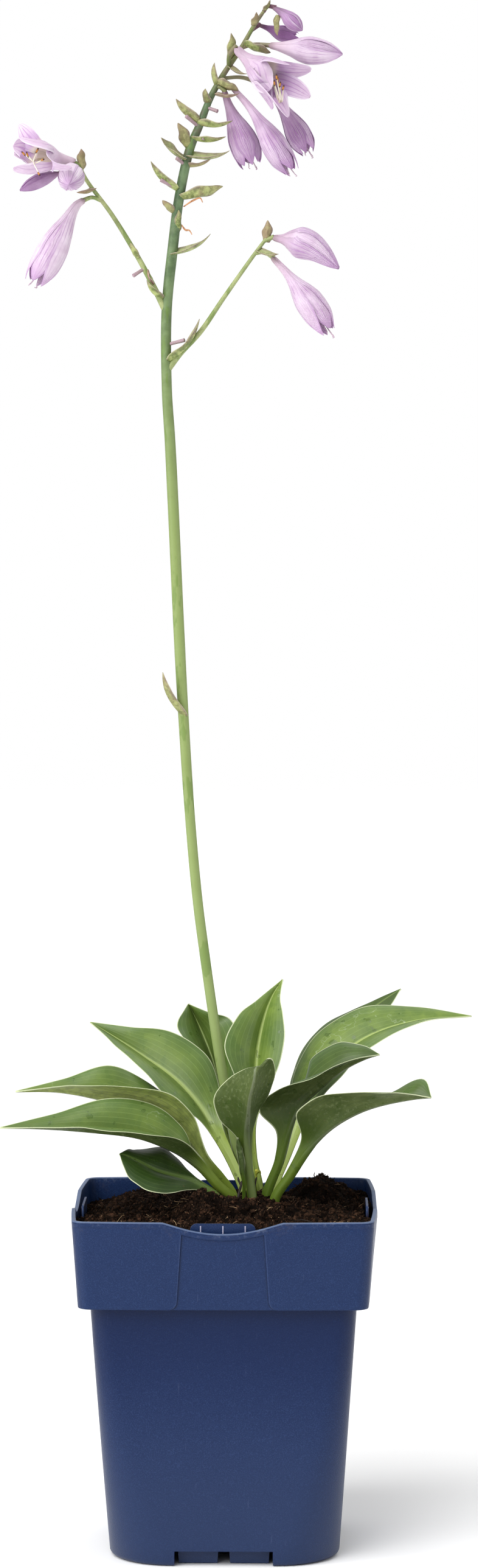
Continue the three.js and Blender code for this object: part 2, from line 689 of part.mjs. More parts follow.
function makeBract([base, tip, width]) {
  const from = point(base);
  const along = point(tip).sub(from);
  const length = along.length();
  const tangent = along.clone().normalize();
  const inward = new THREE.Vector3(0, 0, 1).addScaledVector(tangent, -tangent.z);
  if (inward.length() < 0.5) inward.set(0, 1, 0).addScaledVector(tangent, -tangent.y);
  inward.normalize();
  const side = tangent.clone().cross(inward).normalize();
  const shares = [0, 0.3, 0.65, 1];
  const halfWidths = [0.34, 0.5, 0.38, 0.06];
  const rings = shares.map((share, i) => {
    const half = Math.max(halfWidths[i] * width, 0.3);
    const sag = 0.12 * length * Math.sin(Math.PI * share);
    const rib = from.clone().addScaledVector(along, share).addScaledVector(inward, -sag);
    const rise = 0.45 * half;
    const edge = (sign) => rib.clone().addScaledVector(side, sign * half).addScaledVector(inward, rise);
    const upper = [edge(-1), rib, edge(1)];
    const lower = upper.map((v) => v.clone().addScaledVector(inward, -bractThickness));
    return [...upper, ...lower.reverse()];
  });
  return solid(loft(rings, (i) => i >= 3));
}

function makeScape() {
  const pieces = [stalk(scapeStem.points, scapeStem.radii, 7, 26)];
  for (const branch of scapeBranches) pieces.push(stalk(branch, branchRadii, 5, 7));
  for (const bract of bracts) pieces.push(makeBract(bract));
  for (const points of stubs) pieces.push(stalk(points, [0.8, 0.8], 4, 1));
  for (const points of pedicels) pieces.push(stalk(points, pedicelRadii, 4, points.length - 1));
  return union(pieces);
}

// The blooms

// Shapes from neck to mouth: how far along the axis, and the radius as a share of the greatest one
const bloomShapes = {
  bud: [[0, 0.24], [0.1, 0.28], [0.3, 0.55], [0.5, 0.88], [0.65, 1], [0.8, 0.85], [0.92, 0.5], [1, 0.12]],
  wilted: [[0, 0.2], [0.12, 0.26], [0.28, 0.7], [0.42, 1], [0.6, 0.93], [0.8, 0.6], [0.92, 0.32], [1, 0.08]],
  trumpet: [[0, 0.2], [0.15, 0.26], [0.3, 0.4], [0.42, 0.62], [0.55, 0.86], [0.69, 1], [0.82, 0.94], [1, 0.64]],
  open: [[0, 0.28], [0.22, 0.27], [0.42, 0.42], [0.62, 0.72], [0.82, 0.92], [1, 1]],
};

// An open bloom also has six petals beyond its mouth, each with a point halfway along it and its tip.
const blooms = {
  bloom_01: {
    shape: "bud",
    girth: 2.8,
    axis: [[22.2, 3.2, 727.2], [27.8, 2, 723.5], [31.8, 1, 719.6], [36.1, 0, 715.9]],
  },
  bloom_02: {
    shape: "bud",
    girth: 2.6,
    axis: [[15.9, 5.5, 719], [20.4, 8, 717.7], [26.6, 10, 715.6], [34.7, 11, 714.3]],
  },
  bloom_03: {
    shape: "bud",
    girth: 6.2,
    axis: [[20.9, -0.1, 708.9], [31.3, -2, 707.2], [41, -4, 705.8], [54.9, -7, 704.1]],
  },
  bloom_04: {
    shape: "open",
    girth: 8,
    axis: [[5.4, -4.7, 706.7], [8.9, -5.4, 703.2], [13.1, -7.4, 699.5], [17.2, -10.4, 695.9], [20.7, -13, 693.1]],
    petals: [
      [[22, -17, 701.1], [30.5, -22, 697.9]],
      [[16.4, -20, 692.4], [20.2, -25, 688.6]],
      [[15.3, -12, 685.1], [19.1, -13, 677.5]],
      [[23.6, -18, 681.4], [29.7, -18, 673.9]],
      [[31.4, -9, 688.5], [39.9, -8, 684.1]],
      [[29.8, -8, 697.4], [40.2, -5, 696.9]],
    ],
  },
  bloom_05: {
    shape: "trumpet",
    girth: 6.8,
    axis: [[-0.5, -1, 687.6], [1.4, 0.5, 681.8], [5.2, 2.5, 672.4], [9.2, 4, 662.4], [12.6, 4.5, 653]],
  },
  bloom_06: {
    shape: "trumpet",
    girth: 6,
    axis: [[3.2, -0.9, 689.4], [11.3, -3, 680], [18.5, -5, 669.3], [24.5, -6, 659.3], [31.3, -7, 648.6]],
  },
  bloom_07: {
    shape: "trumpet",
    girth: 5.8,
    axis: [[17.1, 6.2, 691.3], [23.2, 9, 685.7], [30.1, 12, 676], [35, 13, 667.5], [39, 13, 659.4]],
  },
  bloom_08: {
    shape: "open",
    girth: 7.6,
    axis: [[-70.8, -14.8, 653.4], [-75, -17, 654.5], [-79.1, -20, 654.8], [-83.1, -24, 654.8], [-86.8, -28, 654.7]],
    petals: [
      [[-91.1, -22, 665.1], [-95.7, -21, 670.5]],
      [[-93.8, -21, 659.3], [-98.4, -22, 660.3]],
      [[-93.8, -21, 655.1], [-97.8, -24, 655.8]],
      [[-90.8, -28, 647.7], [-97.4, -31, 649.7]],
      [[-78.7, -39, 650.6], [-70.6, -35.5, 648.9]],
      [[-84.1, -36, 661.3], [-94.5, -35, 663.1]],
    ],
  },
  bloom_09: {
    shape: "bud",
    girth: 3.2,
    axis: [[-76.8, -16.4, 648.3], [-80.7, -16.5, 647], [-87.1, -17, 644.3], [-95.4, -19, 640]],
  },
  bloom_10: {
    shape: "bud",
    girth: 6,
    axis: [[-69.2, -16, 650.4], [-70.3, -20, 647.8], [-71.1, -27, 645.5], [-71.6, -38, 641]],
  },
  bloom_11: {
    shape: "trumpet",
    girth: 7,
    axis: [[-66, -13.3, 635.9], [-69.3, -14, 633.3], [-75.4, -17, 621.8], [-82.1, -19, 608.4], [-88.9, -20, 596.3]],
  },
  bloom_12: {
    shape: "wilted",
    girth: 7,
    axis: [[22.7, -12.2, 618.4], [32.8, -15, 616.5], [41.3, -18, 613.4], [53.2, -22, 603.6]],
  },
  bloom_13: {
    shape: "trumpet",
    girth: 6.6,
    axis: [[22.3, -11, 609.3], [28.5, -12, 602.5], [34.8, -13, 594.5], [41.3, -14, 585.7], [49, -15, 574]],
  },
};

const lobes = 6;
const bloomRows = { bud: 8, wilted: 8, trumpet: 7, open: 8 };
const columnsPerLobe = { bud: 2, wilted: 2, trumpet: 3, open: 4 };
const closed = (shape) => shape === "bud" || shape === "wilted";
const mouthAt = 0.5; // where an open bloom's petals start, as a share of the way from neck to tips

function bloomFrames(curve, petals) {
  const firstSide = petals ? point(petals[0][1]).sub(curve.getPoint(1)) : new THREE.Vector3(0, 0, 1);
  return framesAlong(curve, evenStops(41), firstSide);
}

// The point of a bloom's skin at s from the neck (0) to the edge (1), and at an angle round the axis
function bloomSurface({ shape, girth, axis, petals }) {
  const curve = curveThrough(axis.map(point));
  const outline = curveThrough(bloomShapes[shape].map(([along, radius]) => new THREE.Vector3(along, radius, 0)));
  const frames = bloomFrames(curve, petals);
  const tube = (s, angle) => {
    const { x: along, y: share } = outline.getPoint(s);
    const frame = frames[Math.round(along * 40)];
    const ridge = closed(shape) ? 1 + 0.07 * Math.cos(lobes * angle) : 1;
    return curve
      .getPoint(along)
      .addScaledVector(frame.side, girth * share * ridge * Math.cos(angle))
      .addScaledVector(frame.across, girth * share * ridge * Math.sin(angle));
  };
  if (!petals) return tube;
  const mouth = curve.getPoint(1);
  const between = (row, angle) => {
    const place = ((angle / (2 * Math.PI)) * lobes + lobes) % lobes;
    const low = Math.floor(place);
    const a = point(petals[low][row]).sub(mouth);
    const b = point(petals[(low + 1) % lobes][row]).sub(mouth);
    const length = THREE.MathUtils.lerp(a.length(), b.length(), place - low);
    return a.lerp(b, place - low).setLength(length).add(mouth);
  };
  return (s, angle) => {
    if (s <= mouthAt) return tube(s / mouthAt, angle);
    const path = curveThrough([tube(0.9, angle), tube(1, angle), between(0, angle), between(1, angle)]);
    const share = (s - mouthAt) / (1 - mouthAt);
    return path.getPoint((1 + 2 * share) / 3);
  };
}

function makeBud(bloom) {
  const surface = bloomSurface(bloom);
  const columns = lobes * columnsPerLobe[bloom.shape];
  const rings = evenStops(bloomRows[bloom.shape]).map((s) =>
    Array.from({ length: columns }, (_, k) => surface(s, (k / columns) * 2 * Math.PI)),
  );
  return loft(rings);
}

// A flower with a hollow mouth: an outer skin out to the lobes' edge, and an inner skin back down into the tube
function makeFlower(bloom) {
  const surface = bloomSurface(bloom);
  const columns = lobes * columnsPerLobe[bloom.shape];
  const rows = bloomRows[bloom.shape];
  const reach = (angle) => {
    const place = (angle / (2 * Math.PI)) * lobes;
    const fromRib = 2 * Math.abs(place - Math.round(place));
    const notch = bloom.petals ? mouthAt + 0.4 * (1 - mouthAt) : 0.84;
    return notch + (1 - notch) * (1 - fromRib) ** 0.35;
  };
  const step = 1e-3;
  const skin = (depth) => (row) =>
    Array.from({ length: columns }, (_, k) => {
      const angle = (k / columns) * 2 * Math.PI;
      const s = (row / (rows - 1)) * reach(angle);
      const at = surface(s, angle);
      const alongMeridian = surface(Math.min(s + step, 1), angle).sub(surface(Math.max(s - step, 0), angle));
      const around = surface(s, angle + step).sub(surface(s, angle - step));
      const normal = around.cross(alongMeridian).normalize();
      return at.addScaledVector(normal, depth);
    });
  const outer = Array.from({ length: rows }, (_, row) => skin(petal.thickness / 2)(row));
  const inner = Array.from({ length: rows - 2 }, (_, i) => skin(-petal.thickness / 2)(rows - 1 - i));
  return loft([...outer, ...inner]);
}

// The whole part

function material(colour, roughness) {
  return new THREE.MeshStandardMaterial({ color: colour, roughness, metalness: 0, flatShading: true });
}

const finishes = {
  pot: material(colours.plastic, 0.42),
  peat: material(colours.peat, 0.95),
  leaf: material(colours.leaf, 0.5),
  scape: material(colours.scape, 0.5),
  bloom: material(colours.bloom, 0.6),
};

const hosta = new THREE.Group();

function addPiece(name, geometry, finish) {
  const mesh = new THREE.Mesh(geometry, finish);
  mesh.name = name;
  hosta.add(mesh);
}

const holes = Object.values(leaves).map(({ root, stalk: stem, halfWidth = blade.petioleHalfWidth }) =>
  stalkHole(root, stem[0], halfWidth + 0.8, halfWidth + 0.8),
);
const scapeHole = scapeStem.radii[0] + 2 * gap;
holes.push(stalkHole(scapeStem.points[0], scapeStem.points[1], scapeHole, scapeHole));

addPiece("pot", geometryOf(makePot()), finishes.pot);
addPiece("peat", geometryOf(makePeat(holes)), finishes.peat);
for (const [name, leaf] of Object.entries(leaves)) addPiece(name, makeLeaf(leaf), finishes.leaf);
addPiece("scape", geometryOf(makeScape()), finishes.scape);
for (const [name, bloom] of Object.entries(blooms)) {
  addPiece(name, closed(bloom.shape) ? makeBud(bloom) : makeFlower(bloom), finishes.bloom);
}

export default hosta;
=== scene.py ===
# A potted hosta in flower: the square nursery pot, its peat, twelve leaves, the scape with its bracts, and
# thirteen blooms. Shapes are worked out in millimetres and made in metres, in the frame's own axes.
import math

import bpy
import numpy as np
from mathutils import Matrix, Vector, noise


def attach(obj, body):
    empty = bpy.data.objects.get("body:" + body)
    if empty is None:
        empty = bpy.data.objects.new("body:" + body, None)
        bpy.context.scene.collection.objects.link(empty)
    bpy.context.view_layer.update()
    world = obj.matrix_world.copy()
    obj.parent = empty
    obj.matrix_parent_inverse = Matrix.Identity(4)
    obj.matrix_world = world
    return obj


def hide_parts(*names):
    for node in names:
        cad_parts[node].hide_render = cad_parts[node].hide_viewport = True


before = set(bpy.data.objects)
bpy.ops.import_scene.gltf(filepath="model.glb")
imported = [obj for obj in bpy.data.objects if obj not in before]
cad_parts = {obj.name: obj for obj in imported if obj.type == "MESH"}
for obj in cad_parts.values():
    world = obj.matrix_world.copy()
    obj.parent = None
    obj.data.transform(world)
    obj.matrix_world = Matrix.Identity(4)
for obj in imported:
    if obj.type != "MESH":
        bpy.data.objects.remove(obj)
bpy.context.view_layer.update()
mm = 0.001
print("frame loaded:", len(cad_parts), "nodes")


# Nodes for materials and for geometry


class NodeSheet:
    # Lays nodes out in rows. A socket that is fed to an input is linked, and anything else is set on it.
    def __init__(self, tree):
        self.tree = tree
        self.placed = 0

    def feed(self, node, inputs):
        for key, value in inputs.items():
            if isinstance(value, bpy.types.NodeSocket):
                self.tree.links.new(value, node.inputs[key])
            else:
                node.inputs[key].default_value = value

    def add(self, kind, inputs=None, **settings):
        node = self.tree.nodes.new(kind)
        node.location = (200 * (self.placed % 8), -280 * (self.placed // 8))
        self.placed += 1
        for name, value in settings.items():
            setattr(node, name, value)
        self.feed(node, inputs or {})
        return node

    def math(self, operation, *values, clamp=False):
        node = self.add("ShaderNodeMath", dict(enumerate(values)), operation=operation, use_clamp=clamp)
        return node.outputs[0]

    def times(self, *values):
        product = values[0]
        for value in values[1:]:
            product = self.math("MULTIPLY", product, value)
        return product

    def vectorMath(self, kind, first, second):
        # SUBTRACT and MULTIPLY take a second vector, and SCALE takes a number
        inputs = {0: first, "Scale" if kind == "SCALE" else 1: second}
        return self.add("ShaderNodeVectorMath", inputs, operation=kind).outputs[0]

    def wear(self, geometry, finish):
        # Ends a geometry tree: real meshes that wear their material
        real = self.add("GeometryNodeRealizeInstances", {"Geometry": geometry})
        dressed = self.add("GeometryNodeSetMaterial", {"Geometry": real.outputs[0], "Material": finish})
        self.add("NodeGroupOutput", {0: dressed.outputs[0]})


class Finish(NodeSheet):
    # One material round a Principled shader, with the small patterns that the finishes below share.
    def __init__(self, name, **shaderValues):
        self.material = bpy.data.materials.new(name)
        self.material.use_nodes = True
        super().__init__(self.material.node_tree)
        self.shader = self.tree.nodes["Principled BSDF"]
        self.shader.location = (1700, 300)
        self.tree.nodes["Material Output"].location = (2000, 300)
        for key, value in shaderValues.items():
            self.shader.inputs[key.replace("_", " ")].default_value = value
        self.where = self.add("ShaderNodeTexCoord").outputs["Object"]

    def mark(self, name):
        return self.add("ShaderNodeAttribute", attribute_name=name).outputs["Fac"]

    def grain(self, scale, detail=2.0, roughness=0.5, stretch=None):
        where = self.where
        if stretch:
            where = self.add("ShaderNodeMapping", {"Vector": where, "Scale": stretch}).outputs[0]
        inputs = {"Vector": where, "Scale": scale, "Detail": detail, "Roughness": roughness}
        return self.add("ShaderNodeTexNoise", inputs).outputs["Fac"]

    def rise(self, value, low, high, top=1.0):
        inputs = {"Value": value, "From Min": low, "From Max": high, "To Max": top}
        return self.add("ShaderNodeMapRange", inputs, interpolation_type="SMOOTHSTEP").outputs["Result"]

    def fall(self, value, low, high):
        return self.math("SUBTRACT", 1.0, self.rise(value, low, high))

    def away(self, value, middle):
        return self.math("ABSOLUTE", self.math("SUBTRACT", value, middle))

    def axis(self, name):
        return self.add("ShaderNodeSeparateXYZ", {0: self.where}).outputs[name]

    def blend(self, share, first, second):
        return self.add("ShaderNodeMix", {0: share, 6: first, 7: second}, data_type="RGBA").outputs[2]

    def between(self, share, dark, light):
        return self.blend(share, colour(*dark), colour(*light))

    def over(self, tone, paint, *shares):
        # Lays a paint over a tone, as strongly as the shares multiplied
        return self.blend(self.times(*shares), tone, colour(*paint))

    def bump(self, height, distance, strength=1.0, under=None):
        inputs = {"Height": height, "Distance": distance, "Strength": strength}
        if under:
            inputs["Normal"] = under
        return self.add("ShaderNodeBump", inputs).outputs["Normal"]

    def end(self, **sockets):
        for key, value in sockets.items():
            self.feed(self.shader, {key.replace("_", " "): value})
        return self.material


def colour(red, green, blue):
    return (red, green, blue, 1.0)


# Paths and closed shells


def pathThrough(points):
    # A centripetal Catmull-Rom path: gives the points at shares from 0 to 1 of the way.
    p = np.array(points, float)
    spans = len(p) - 1
    p = np.vstack([2 * p[0] - p[1], p, 2 * p[-1] - p[-2]])
    knots = np.maximum(np.linalg.norm(np.diff(p, axis=0), axis=1) ** 0.5, 1e-4)

    def at(shares):
        place = np.clip(np.atleast_1d(np.asarray(shares, float)), 0, 1) * spans
        i = np.minimum(place.astype(int), spans - 1)
        w = (place - i)[:, None]
        a, b, c, d = p[i], p[i + 1], p[i + 2], p[i + 3]
        k0, k1, k2 = knots[i][:, None], knots[i + 1][:, None], knots[i + 2][:, None]
        start = ((b - a) / k0 - (c - a) / (k0 + k1) + (c - b) / k1) * k1
        finish = ((c - b) / k1 - (d - b) / (k1 + k2) + (d - c) / k2) * k1
        square = 3 * (c - b) - 2 * start - finish
        cube = 2 * (b - c) + start + finish
        return b + w * start + w**2 * square + w**3 * cube

    return at


def unit(v):
    return v / np.maximum(np.linalg.norm(v, axis=-1, keepdims=True), 1e-9)


def tangents(path, shares):
    shares = np.atleast_1d(np.asarray(shares, float))
    return unit(path(np.minimum(shares + 1e-4, 1)) - path(np.maximum(shares - 1e-4, 0)))


def smooth(value):
    value = np.clip(value, 0, 1)
    return value * value * (3 - 2 * value)


def ringShell(rings, marks=None):
    # Joins rings of equal length into a closed shell whose faces point outwards.
    rings = np.asarray(rings, float)
    rows, count = rings.shape[:2]
    low = np.arange(rows - 1)[:, None] * count
    around = np.arange(count)
    following = (around + 1) % count
    quads = np.stack([low + around, low + following, low + count + following, low + count + around], -1)
    first, last = rows * count, (rows - 1) * count
    foot = np.stack([np.full(count, first), following, around], 1)
    head = np.stack([np.full(count, first + 1), last + around, last + following], 1)
    shell = {
        "verts": np.vstack([rings.reshape(-1, 3), rings[0].mean(0), rings[-1].mean(0)]),
        "quads": quads.reshape(-1, 4),
        "tris": np.vstack([foot, head]),
        "marks": {k: np.append(v.ravel(), [v[0].mean(), v[-1].mean()]) for k, v in (marks or {}).items()},
    }
    v, q = shell["verts"], shell["quads"]
    thirds = np.vstack([q[:, [0, 1, 2]], q[:, [0, 2, 3]], shell["tris"]])
    volume = np.einsum("ij,ij->i", v[thirds[:, 0]], np.cross(v[thirds[:, 1]], v[thirds[:, 2]])).sum()
    if volume < 0:
        shell["quads"] = shell["quads"][:, ::-1]
        shell["tris"] = shell["tris"][:, ::-1]
    return shell


def linked(name, data):
    made = bpy.data.objects.new(name, data)
    bpy.context.collection.objects.link(made)
    return made


def addMark(mesh, key, values):
    mesh.attributes.new(key, "FLOAT", "POINT").data.foreach_set("value", values.astype(np.float32))


def newPiece(name, shells, finish, crease=None):
    verts, faces, marks, start = [], [], {}, 0
    for shell in shells:
        verts.append(shell["verts"])
        faces += (shell["quads"] + start).tolist() + (shell["tris"] + start).tolist()
        for key, values in shell["marks"].items():
            marks.setdefault(key, []).append(values)
        start += len(shell["verts"])
    mesh = bpy.data.meshes.new(name)
    mesh.from_pydata((np.vstack(verts) * mm).tolist(), [], faces)
    for key, values in marks.items():
        addMark(mesh, key, np.concatenate(values))
    mesh.materials.append(finish)
    mesh.shade_smooth()
    if crease:
        mesh.set_sharp_from_angle(angle=math.radians(crease))
    return linked(name, mesh)


def hand(piece, slotName, *nodes):
    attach(piece, "root")
    if nodes:
        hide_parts(*nodes)


def bake(piece):
    # Turns a piece with modifiers into a plain mesh and drops them.
    graph = bpy.context.evaluated_depsgraph_get()
    mesh = bpy.data.meshes.new_from_object(piece.evaluated_get(graph), depsgraph=graph)
    name = piece.name
    bpy.data.objects.remove(piece)
    return linked(name, mesh)


def newTree(name, kinds):
    # A geometry tree with named inputs: gives the sheet to build it on, and its sockets by name
    tree = bpy.data.node_groups.new(name, "GeometryNodeTree")
    tree.interface.new_socket("Geometry", in_out="INPUT", socket_type="NodeSocketGeometry")
    sockets = {}
    for key, kind in kinds.items():
        sockets[key] = tree.interface.new_socket(key, in_out="INPUT", socket_type="NodeSocket" + kind)
    tree.interface.new_socket("Geometry", in_out="OUTPUT", socket_type="NodeSocketGeometry")
    return NodeSheet(tree), sockets


def grown(piece, sheet, sockets, values):
    # Puts a tree on a piece, sets its inputs, and keeps the result as a plain mesh
    modifier = piece.modifiers.new(piece.name, "NODES")
    modifier.node_group = sheet.tree
    for key, value in values.items():
        modifier[sockets[key].identifier] = value
    return bake(piece)


def quarterTurn(points, quarter):
    cosine, sine = math.cos(quarter * math.pi / 2), math.sin(quarter * math.pi / 2)
    turn = np.array([[cosine, -sine, 0], [sine, cosine, 0], [0, 0, 1]])
    return np.asarray(points) @ turn.T


# The camera, the light and the floor

cameraPlace = {"x": 36.8, "y": -2051.5, "z": 482.0, "pitchDown": 0.0584, "turnLeft": 0.0148, "lens": 99.63}
cameraData = bpy.data.cameras.new("camera")
cameraData.lens = cameraPlace["lens"]
cameraData.sensor_width = 36
cameraData.clip_start = 0.05
camera = linked("camera", cameraData)
camera.location = (cameraPlace["x"] * mm, cameraPlace["y"] * mm, cameraPlace["z"] * mm)
camera.rotation_euler = (math.pi / 2 - cameraPlace["pitchDown"], 0, cameraPlace["turnLeft"])
bpy.context.scene.camera = camera
bpy.context.scene.view_settings.view_transform = "Standard"

# The studio: a dim white room that the camera sees as plain white, wide soft suns from above, in front and
# behind, and a tall strip on each side that draws the highlights down the pot's corners
studio = {"roomLight": 0.5, "backdrop": 1.0}
softSuns = {
    "keyLight": {"towards": (0.4, 0.6, -1.0), "strength": 1.9, "spread": 45},
    "frontLight": {"towards": (0.6, 1.0, -0.6), "strength": 0.95, "spread": 35},
    "backLight": {"towards": (-0.3, -0.7, -1.0), "strength": 0.7, "spread": 60},
}
sideStrips = {
    "leftStrip": {"place": (-1.1, -0.55, 0.35), "width": 0.25, "height": 1.4, "watts": 7},
    "rightStrip": {"place": (1.2, -0.5, 0.35), "width": 0.25, "height": 1.4, "watts": 4},
}
world = bpy.data.worlds.new("studio")
world.use_nodes = True
worldSheet = NodeSheet(world.node_tree)
seen = worldSheet.add("ShaderNodeLightPath").outputs["Is Camera Ray"]
level = {"Value": seen, "To Min": studio["roomLight"], "To Max": studio["backdrop"]}
strength = worldSheet.add("ShaderNodeMapRange", level).outputs["Result"]
worldSheet.feed(world.node_tree.nodes["Background"], {"Color": colour(1, 1, 1), "Strength": strength})
bpy.context.scene.world = world

for name, sun in softSuns.items():
    lamp = bpy.data.lights.new(name, "SUN")
    lamp.energy = sun["strength"]
    lamp.angle = math.radians(sun["spread"])
    light = linked(name, lamp)
    light.rotation_euler = Vector(sun["towards"]).to_track_quat("-Z", "Y").to_euler()
for name, strip in sideStrips.items():
    lamp = bpy.data.lights.new(name, "AREA")
    lamp.shape = "RECTANGLE"
    lamp.size = strip["width"]
    lamp.size_y = strip["height"]
    lamp.energy = strip["watts"]
    light = linked(name, lamp)
    light.location = strip["place"]
    towardsPot = Vector((0, 0, 0.2)) - light.location
    light.rotation_euler = towardsPot.to_track_quat("-Z", "Y").to_euler()


def floorFinish():
    finish = Finish("paleFloor", Roughness=0.9)
    tone = finish.between(finish.grain(6), (0.92, 0.92, 0.92), (0.94, 0.94, 0.94))
    return finish.end(Base_Color=tone)


floorHalf = 6.0
floorCorners = [(x * floorHalf, y * floorHalf, 0) for x, y in ((-1, -1), (1, -1), (1, 1), (-1, 1))]
floorMesh = bpy.data.meshes.new("floor")
floorMesh.from_pydata(floorCorners, [], [(0, 1, 2, 3)])
floorMesh.materials.append(floorFinish())
floor = linked("floor", floorMesh)
floor.location.z = -0.0004  # just under the pot's feet
print("camera, light and floor placed")


# The pot

potShape = {
    "height": 164, "rimHalf": 70, "wall": 1.2, "bandBottom": 122.7, "bandHalf": 67.4, "bodyTopHalf": 62,
    "baseHalf": 54.3, "rimCorner": 6.5, "bodyTopCorner": 9, "baseCorner": 29, "lipHeight": 3, "lipProud": 0.7,
    "rimBulge": 2.3, "bandBulge": 1.4, "bodyBulge": 1.0, "dipDepth": 5.2, "dipHalf": 28, "panelRecess": 0.75,
    "panelTopHalf": 19, "panelBottomHalf": 21.5, "panelCorner": 4.0, "floorTop": 8.4, "cornerSteps": 12,
}
notch = {"width": 46, "height": 7, "length": 28}
footPad = {"width": 18, "length": 7, "setBack": 7, "between": 6}
drain = {"radius": 3.5, "sides": 24, "middle": 34, "corner": 36}
tab = {
    "topWidth": 29, "bottomWidth": 33, "top": 163, "bottom": 150, "thickness": 1, "setBack": 2.2, "corner": 3,
}
ticks = {"Spacing": 10.3, "Width": 0.55, "Height": 9.0, "Depth": 0.5, "Top": 162.0}
bandHeight = potShape["height"] - potShape["lipHeight"] - 0.3 - potShape["bandBottom"]
farOff = 99.0  # the panel mark of a place with no panel near it


def potFinish():
    finish = Finish("potPlastic", Roughness=0.34, Specular_IOR_Level=0.2)
    speckle = finish.grain(2200, 2, 0.6)
    cloud = finish.grain(22, 4, 0.6)
    belowRim, panel = finish.mark("belowRim"), finish.mark("panel")
    tone = finish.between(cloud, (0.002, 0.012, 0.058), (0.0045, 0.017, 0.07))
    tone = finish.over(tone, (0.026, 0.055, 0.155), finish.rise(speckle, 0.44, 0.7, 0.5))
    # the lip's top edge is painted paler as a painted highlight, and dirt lies in the groove under the lip
    tone = finish.over(tone, (0.27, 0.36, 0.56), finish.fall(belowRim, 0.15, 0.8), 0.42)
    scuffs = finish.rise(finish.grain(420, 5, 0.7), 0.5, 0.68)
    tone = finish.over(tone, (0.26, 0.3, 0.4), scuffs, finish.fall(belowRim, 0.5, 3.5), 0.22)
    soiled = finish.rise(finish.grain(95, 6, 0.75), 0.55, 0.75)
    tone = finish.over(tone, (0.13, 0.095, 0.07), soiled, finish.fall(belowRim, 2, 9), 0.35)
    # a thin painted highlight along each panel's step edge and round the trim's outlines, and painted shade
    # at the foot of each panel's step
    tone = finish.over(tone, (0.1, 0.14, 0.27), finish.fall(finish.away(panel, 0.25), 0.05, 0.35), 0.22)
    tone = finish.over(tone, (0.004, 0.007, 0.024), finish.fall(finish.away(panel, -0.4), 0.1, 0.45), 0.6)
    # painted light and shade: the rim band is painted lighter than the body, and the wall is painted deepest
    # high on the body, as shade under the band, and lighter downwards, as a painted reflection of the pale
    # floor
    height = finish.axis("Z")
    onBand = finish.math("GREATER_THAN", height, potShape["bandBottom"] * mm)
    tone = finish.over(tone, (0.012, 0.028, 0.082), onBand, 0.3)
    offBand = finish.math("SUBTRACT", 1.0, onBand)
    tone = finish.over(tone, (0.0005, 0.0075, 0.044), finish.rise(height, 0.05, 0.1225), offBand, 0.7)
    tone = finish.over(tone, (0.021, 0.036, 0.088), finish.fall(height, 0.01, 0.1), 0.55)
    scratch = finish.rise(finish.grain(30, 3, 0.6, stretch=(30, 30, 1)), 0.68, 0.74, 0.12)
    tone = finish.over(tone, (0.1, 0.13, 0.23), scratch)
    gloss = finish.add("ShaderNodeMapRange", {"Value": cloud, "To Min": 0.3, "To Max": 0.44})
    skin = finish.bump(speckle, 0.0002, 0.6)
    return finish.end(Base_Color=tone, Roughness=gloss.outputs["Result"], Normal=skin)


def panelHalfAt(h):
    # half the width of the sunk middle panel, h above the foot of the rim band: it rounds out at its foot
    s = potShape
    turn = s["panelCorner"]
    low = np.clip(h, 0, turn)
    flare = turn - np.sqrt(turn**2 - (turn - low) ** 2)
    return s["panelBottomHalf"] + (s["panelTopHalf"] - s["panelBottomHalf"]) * (h / bandHeight) + flare


def dipAt(across, depth):
    # how far the rim has dropped, across from the middle of its side
    return depth * np.clip(1 - (across / potShape["dipHalf"]) ** 2, 0, 1) ** 1.15


def markPot(mesh, outlines=None):
    # belowRim: how far under the top edge; panel: how far outside the sunk panel's outline, in millimetres
    s = potShape
    place = np.array([v.co for v in mesh.vertices]) / mm
    across = np.where(np.abs(place[:, 0]) > np.abs(place[:, 1]), np.abs(place[:, 1]), np.abs(place[:, 0]))
    belowRim = s["height"] - dipAt(across, s["dipDepth"]) - place[:, 2]
    h = place[:, 2] - s["bandBottom"]
    outside = across - panelHalfAt(np.maximum(h, 0))
    outside = np.where((h > 0) & (belowRim > 3.2), outside, farOff)
    if outlines is not None:
        # the trim is plain plastic with a thin painted highlight along its outline
        belowRim, outside = np.full(len(place), 20.0), outlines
    addMark(mesh, "belowRim", belowRim)
    addMark(mesh, "panel", outside)


def potRing(half, corner, z, bulge=0.0, recess=0.0, panelHalf=None, dip=0.0):
    s = potShape
    edge, dipHalf = s["panelTopHalf"], s["dipHalf"]
    panelHalf = panelHalf or edge
    straight = half - corner
    fit = min(1.0, 0.92 * straight / dipHalf)
    near = np.concatenate([
        np.linspace(0, edge - 1.2, 12),
        edge + np.array([-0.7, -0.4, -0.15, 0.15, 0.4, 0.7]),
        np.linspace(edge + 1.3, dipHalf, 8),
    ])
    near = np.interp(near, [0, edge - 1, edge + 1, dipHalf], [0, panelHalf - 1, panelHalf + 1, dipHalf]) * fit
    xs = np.concatenate([near, np.linspace(dipHalf * fit, straight, 9)[1:-1]])
    xs = np.concatenate([-xs[:0:-1], xs])
    bow = bulge * (1 - (xs / straight) ** 2)
    sunk = recess * smooth((panelHalf * fit - np.abs(xs)) / 0.5 + 0.5)
    side = np.stack([xs, -half - bow + sunk, z - dipAt(xs, dip)], 1)
    angles = np.linspace(0, math.pi / 2, s["cornerSteps"] + 1)
    turnX = straight + corner * np.sin(angles)
    turnY = -straight - corner * np.cos(angles)
    quarter = np.vstack([side, np.stack([turnX, turnY, np.full(len(angles), z)], 1)])
    return np.vstack([quarterTurn(quarter, k) for k in range(4)])


